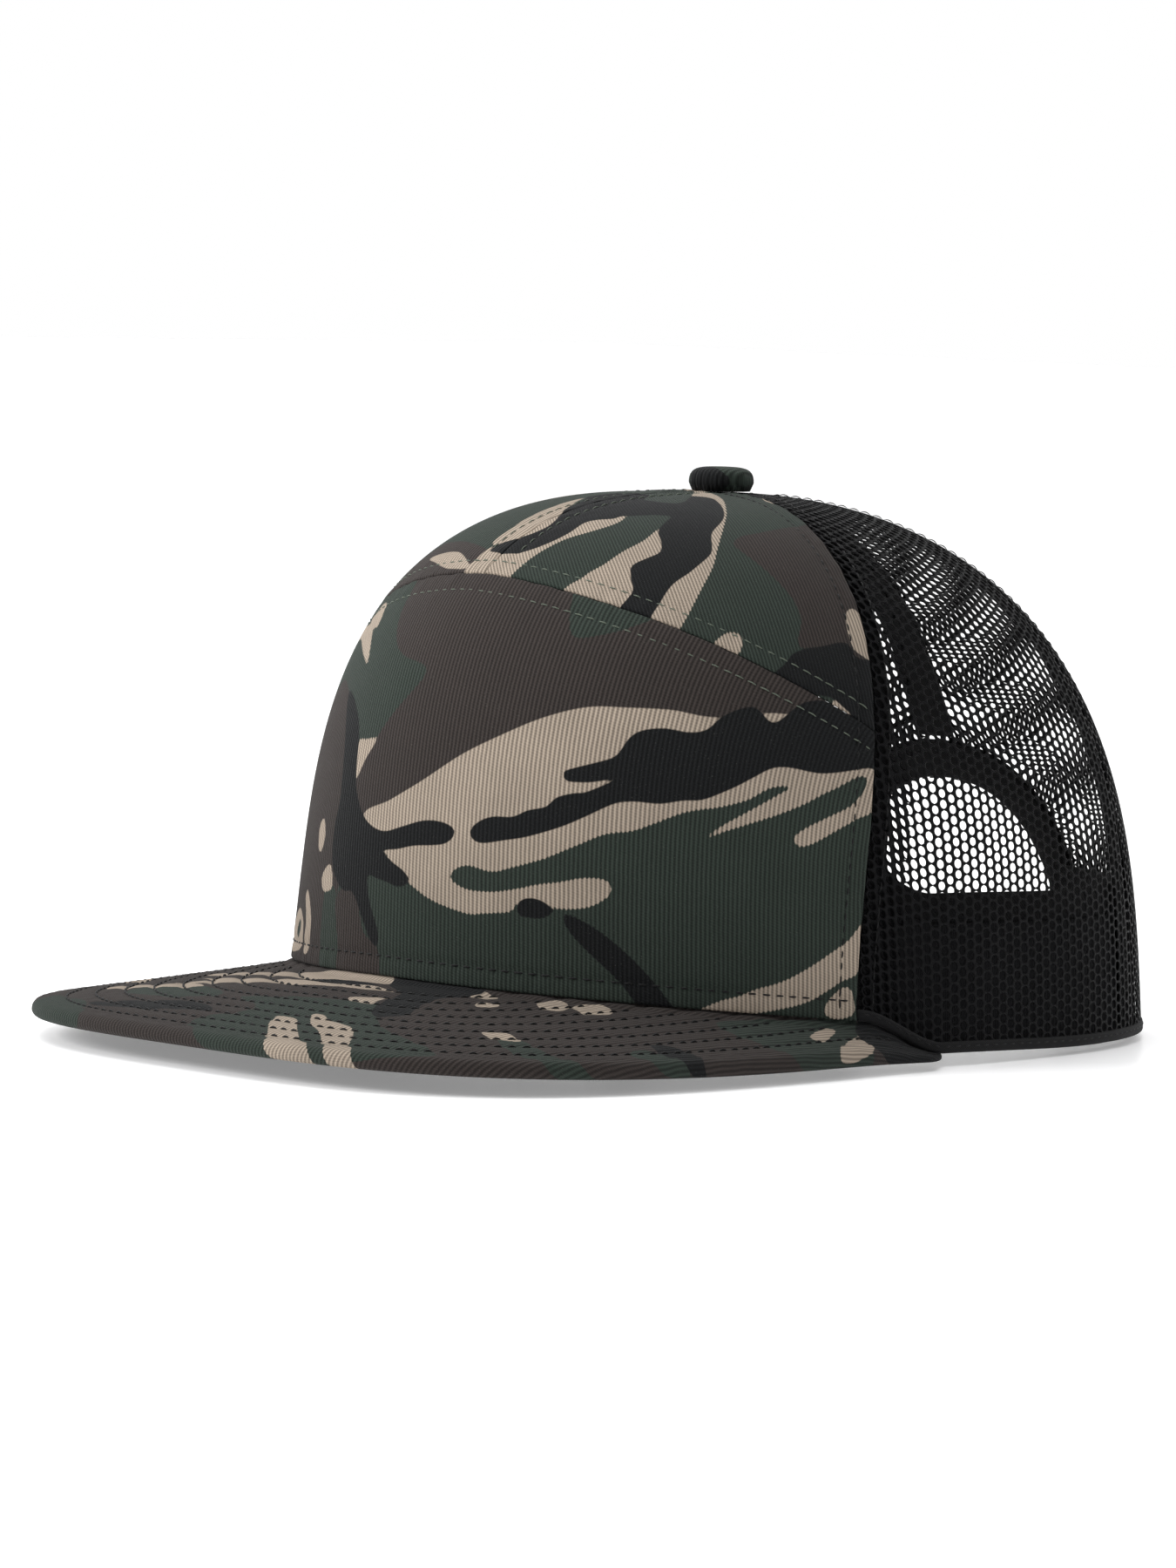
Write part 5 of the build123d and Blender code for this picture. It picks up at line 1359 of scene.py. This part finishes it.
button_all = np.concatenate([button_points.reshape(-1, 3), inside_ring])
for i in range(BUTTON_TURNS):
    j = (i + 1) % BUTTON_TURNS
    faces.append((i * columns, start + i, start + j, j * columns))
values = painted(BUTTON_PRINT, button_all[:, 0] / MM, -(button_all[:, 1] - POLE_Y) / MM)
values["weave"] = button_all * np.array([1, 1, 0])
add_piece("button_cloth", button_all, faces, camo, ["button_cover"], fields=values)

# ---------------------------------------------------------------- snap strap and hidden parts
for node, material in (("hole_strap", strap_plastic), ("peg_strap", strap_plastic),
                       ("hole_strap_anchor", strap_plastic), ("peg_strap_anchor", strap_plastic),
                       ("brim_board", board_plastic), ("button_shell", steel), ("button_rivet", steel),
                       ("button_washer", steel)):
    material_of(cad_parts[node], material)


def hinge_web(name, sign):
    """Thin flexible web between a strap's anchor and the half that swings."""
    half_width = STRAP_WIDTH / 2
    x = sign * np.linspace(HINGE_X - 0.6 * MM, HINGE_X + HINGE_GAP + 0.6 * MM, 13)[:, None]
    z = np.linspace(STRAP_CENTRE - half_width + 0.2 * MM, STRAP_CENTRE + half_width - 0.2 * MM, 9)[None, :]
    t, rise = back_place(*np.broadcast_arrays(x, z))
    middle = ANCHOR_DEPTH + STRAP_THICKNESS / 2
    share = np.abs(np.abs(x) - HINGE_X - HINGE_GAP / 2) / (HINGE_GAP / 2 + 0.6 * MM)
    half = (0.2 + 0.28 * smooth(share * 1.6 - 0.6)) * MM + 0 * z
    a, b = shell(t, rise, middle - half), shell(t, rise, middle + half)
    points, faces = slab(*((a, b) if sign > 0 else (a[::-1], b[::-1])))
    web = add_piece(name, points, faces, strap_plastic, body=None)
    for place in (HINGE_X + HINGE_GAP, HINGE_X):
        t, rise = back_place(sign * place, STRAP_CENTRE)
    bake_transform(web)


hinge_web("hole_strap_web", 1)
hinge_web("peg_strap_web", -1)

# ---------------------------------------------------------------- camera, light and floor
AZIMUTH, ELEVATION, ROLL = math.radians(44.663), math.radians(4.558), math.radians(1.55)
LENS, SENSOR, CLIP_START = 164.6, 36.0, 0.1
AIM_RIGHT, AIM_HEIGHT, CAMERA_DISTANCE = -0.0288, 0.0517, 1.616
back = Vector((math.sin(AZIMUTH) * math.cos(ELEVATION), -math.cos(AZIMUTH) * math.cos(ELEVATION),
               math.sin(ELEVATION)))
right = Vector((math.cos(AZIMUTH), math.sin(AZIMUTH), 0))
up = back.cross(right)
camera = bpy.data.objects.new("camera", bpy.data.cameras.new("camera"))
bpy.context.scene.collection.objects.link(camera)
camera.data.lens, camera.data.sensor_width = LENS, SENSOR
camera.data.clip_start = CLIP_START
axes = Matrix((right * math.cos(ROLL) + up * math.sin(ROLL), up * math.cos(ROLL) - right * math.sin(ROLL),
               back))
place = right * AIM_RIGHT + Vector((0, 0, AIM_HEIGHT)) + back * CAMERA_DISTANCE
camera.matrix_world = Matrix.Translation(place) @ axes.transposed().to_4x4()
bpy.context.scene.camera = camera


LIGHT_TARGET = (0, 0, 0.06)


def area_light(name, place, size, power):
    """Square light that faces the cap."""
    light = bpy.data.lights.new(name, "AREA")
    light.shape, light.size, light.size_y, light.energy = "RECTANGLE", size, size, power
    obj = bpy.data.objects.new(name, light)
    bpy.context.scene.collection.objects.link(obj)
    obj.location = place
    obj.rotation_euler = (Vector(place) - Vector(LIGHT_TARGET)).to_track_quat("Z", "Y").to_euler()


area_light("left_light", (-0.9, -1.5, 1.0), 0.8, 26)
area_light("top_light", (-0.3, -0.1, 1.5), 1.2, 16)

FLOOR_REACH, FLOOR_GAP = 6, 0.0004
floor_mesh = bpy.data.meshes.new("floor")
floor_corners = [(x * FLOOR_REACH, y * FLOOR_REACH, 0) for x, y in ((-1, -1), (1, -1), (1, 1), (-1, 1))]
floor_mesh.from_pydata(floor_corners, [], [(0, 1, 2, 3)])
floor = bpy.data.objects.new("floor", floor_mesh)
bpy.context.scene.collection.objects.link(floor)
floor.location.z = cad_box[0][2] - FLOOR_GAP
paper = Nodes("floor", Roughness=0.3, Specular_IOR_Level=0.1, Emission_Color=(1, 1, 1, 1),
              Emission_Strength=0.24)
paper.colour(paper.mix(paper.noise(paper.place(), 3.0), (0.95, 0.95, 0.96, 1), (0.97, 0.97, 0.975, 1)))
material_of(floor, paper.material)

# the studio is brighter behind the cap, on the side the net is seen against
GLOW_DIRECTION, GLOW_RANGE = (-0.70, 0.71, 0.0), (-0.3, 0.9, 0.55, 1.0)
world = bpy.data.worlds.new("studio")
bpy.context.scene.world = world
world.use_nodes = True
sky = world.node_tree
toward = sky.nodes.new("ShaderNodeVectorMath")
toward.operation = "DOT_PRODUCT"
sky.links.new(sky.nodes.new("ShaderNodeTexCoord").outputs["Generated"], toward.inputs[0])
toward.inputs[1].default_value = GLOW_DIRECTION
glow = sky.nodes.new("ShaderNodeMapRange")
sky.links.new(toward.outputs["Value"], glow.inputs[0])
for socket, value in enumerate(GLOW_RANGE, 1):
    glow.inputs[socket].default_value = value
sky.links.new(glow.outputs[0], sky.nodes["Background"].inputs["Strength"])
sky.nodes["Background"].inputs["Color"].default_value = (1, 1, 1, 1)
bpy.context.scene.view_settings.view_transform = "Standard"
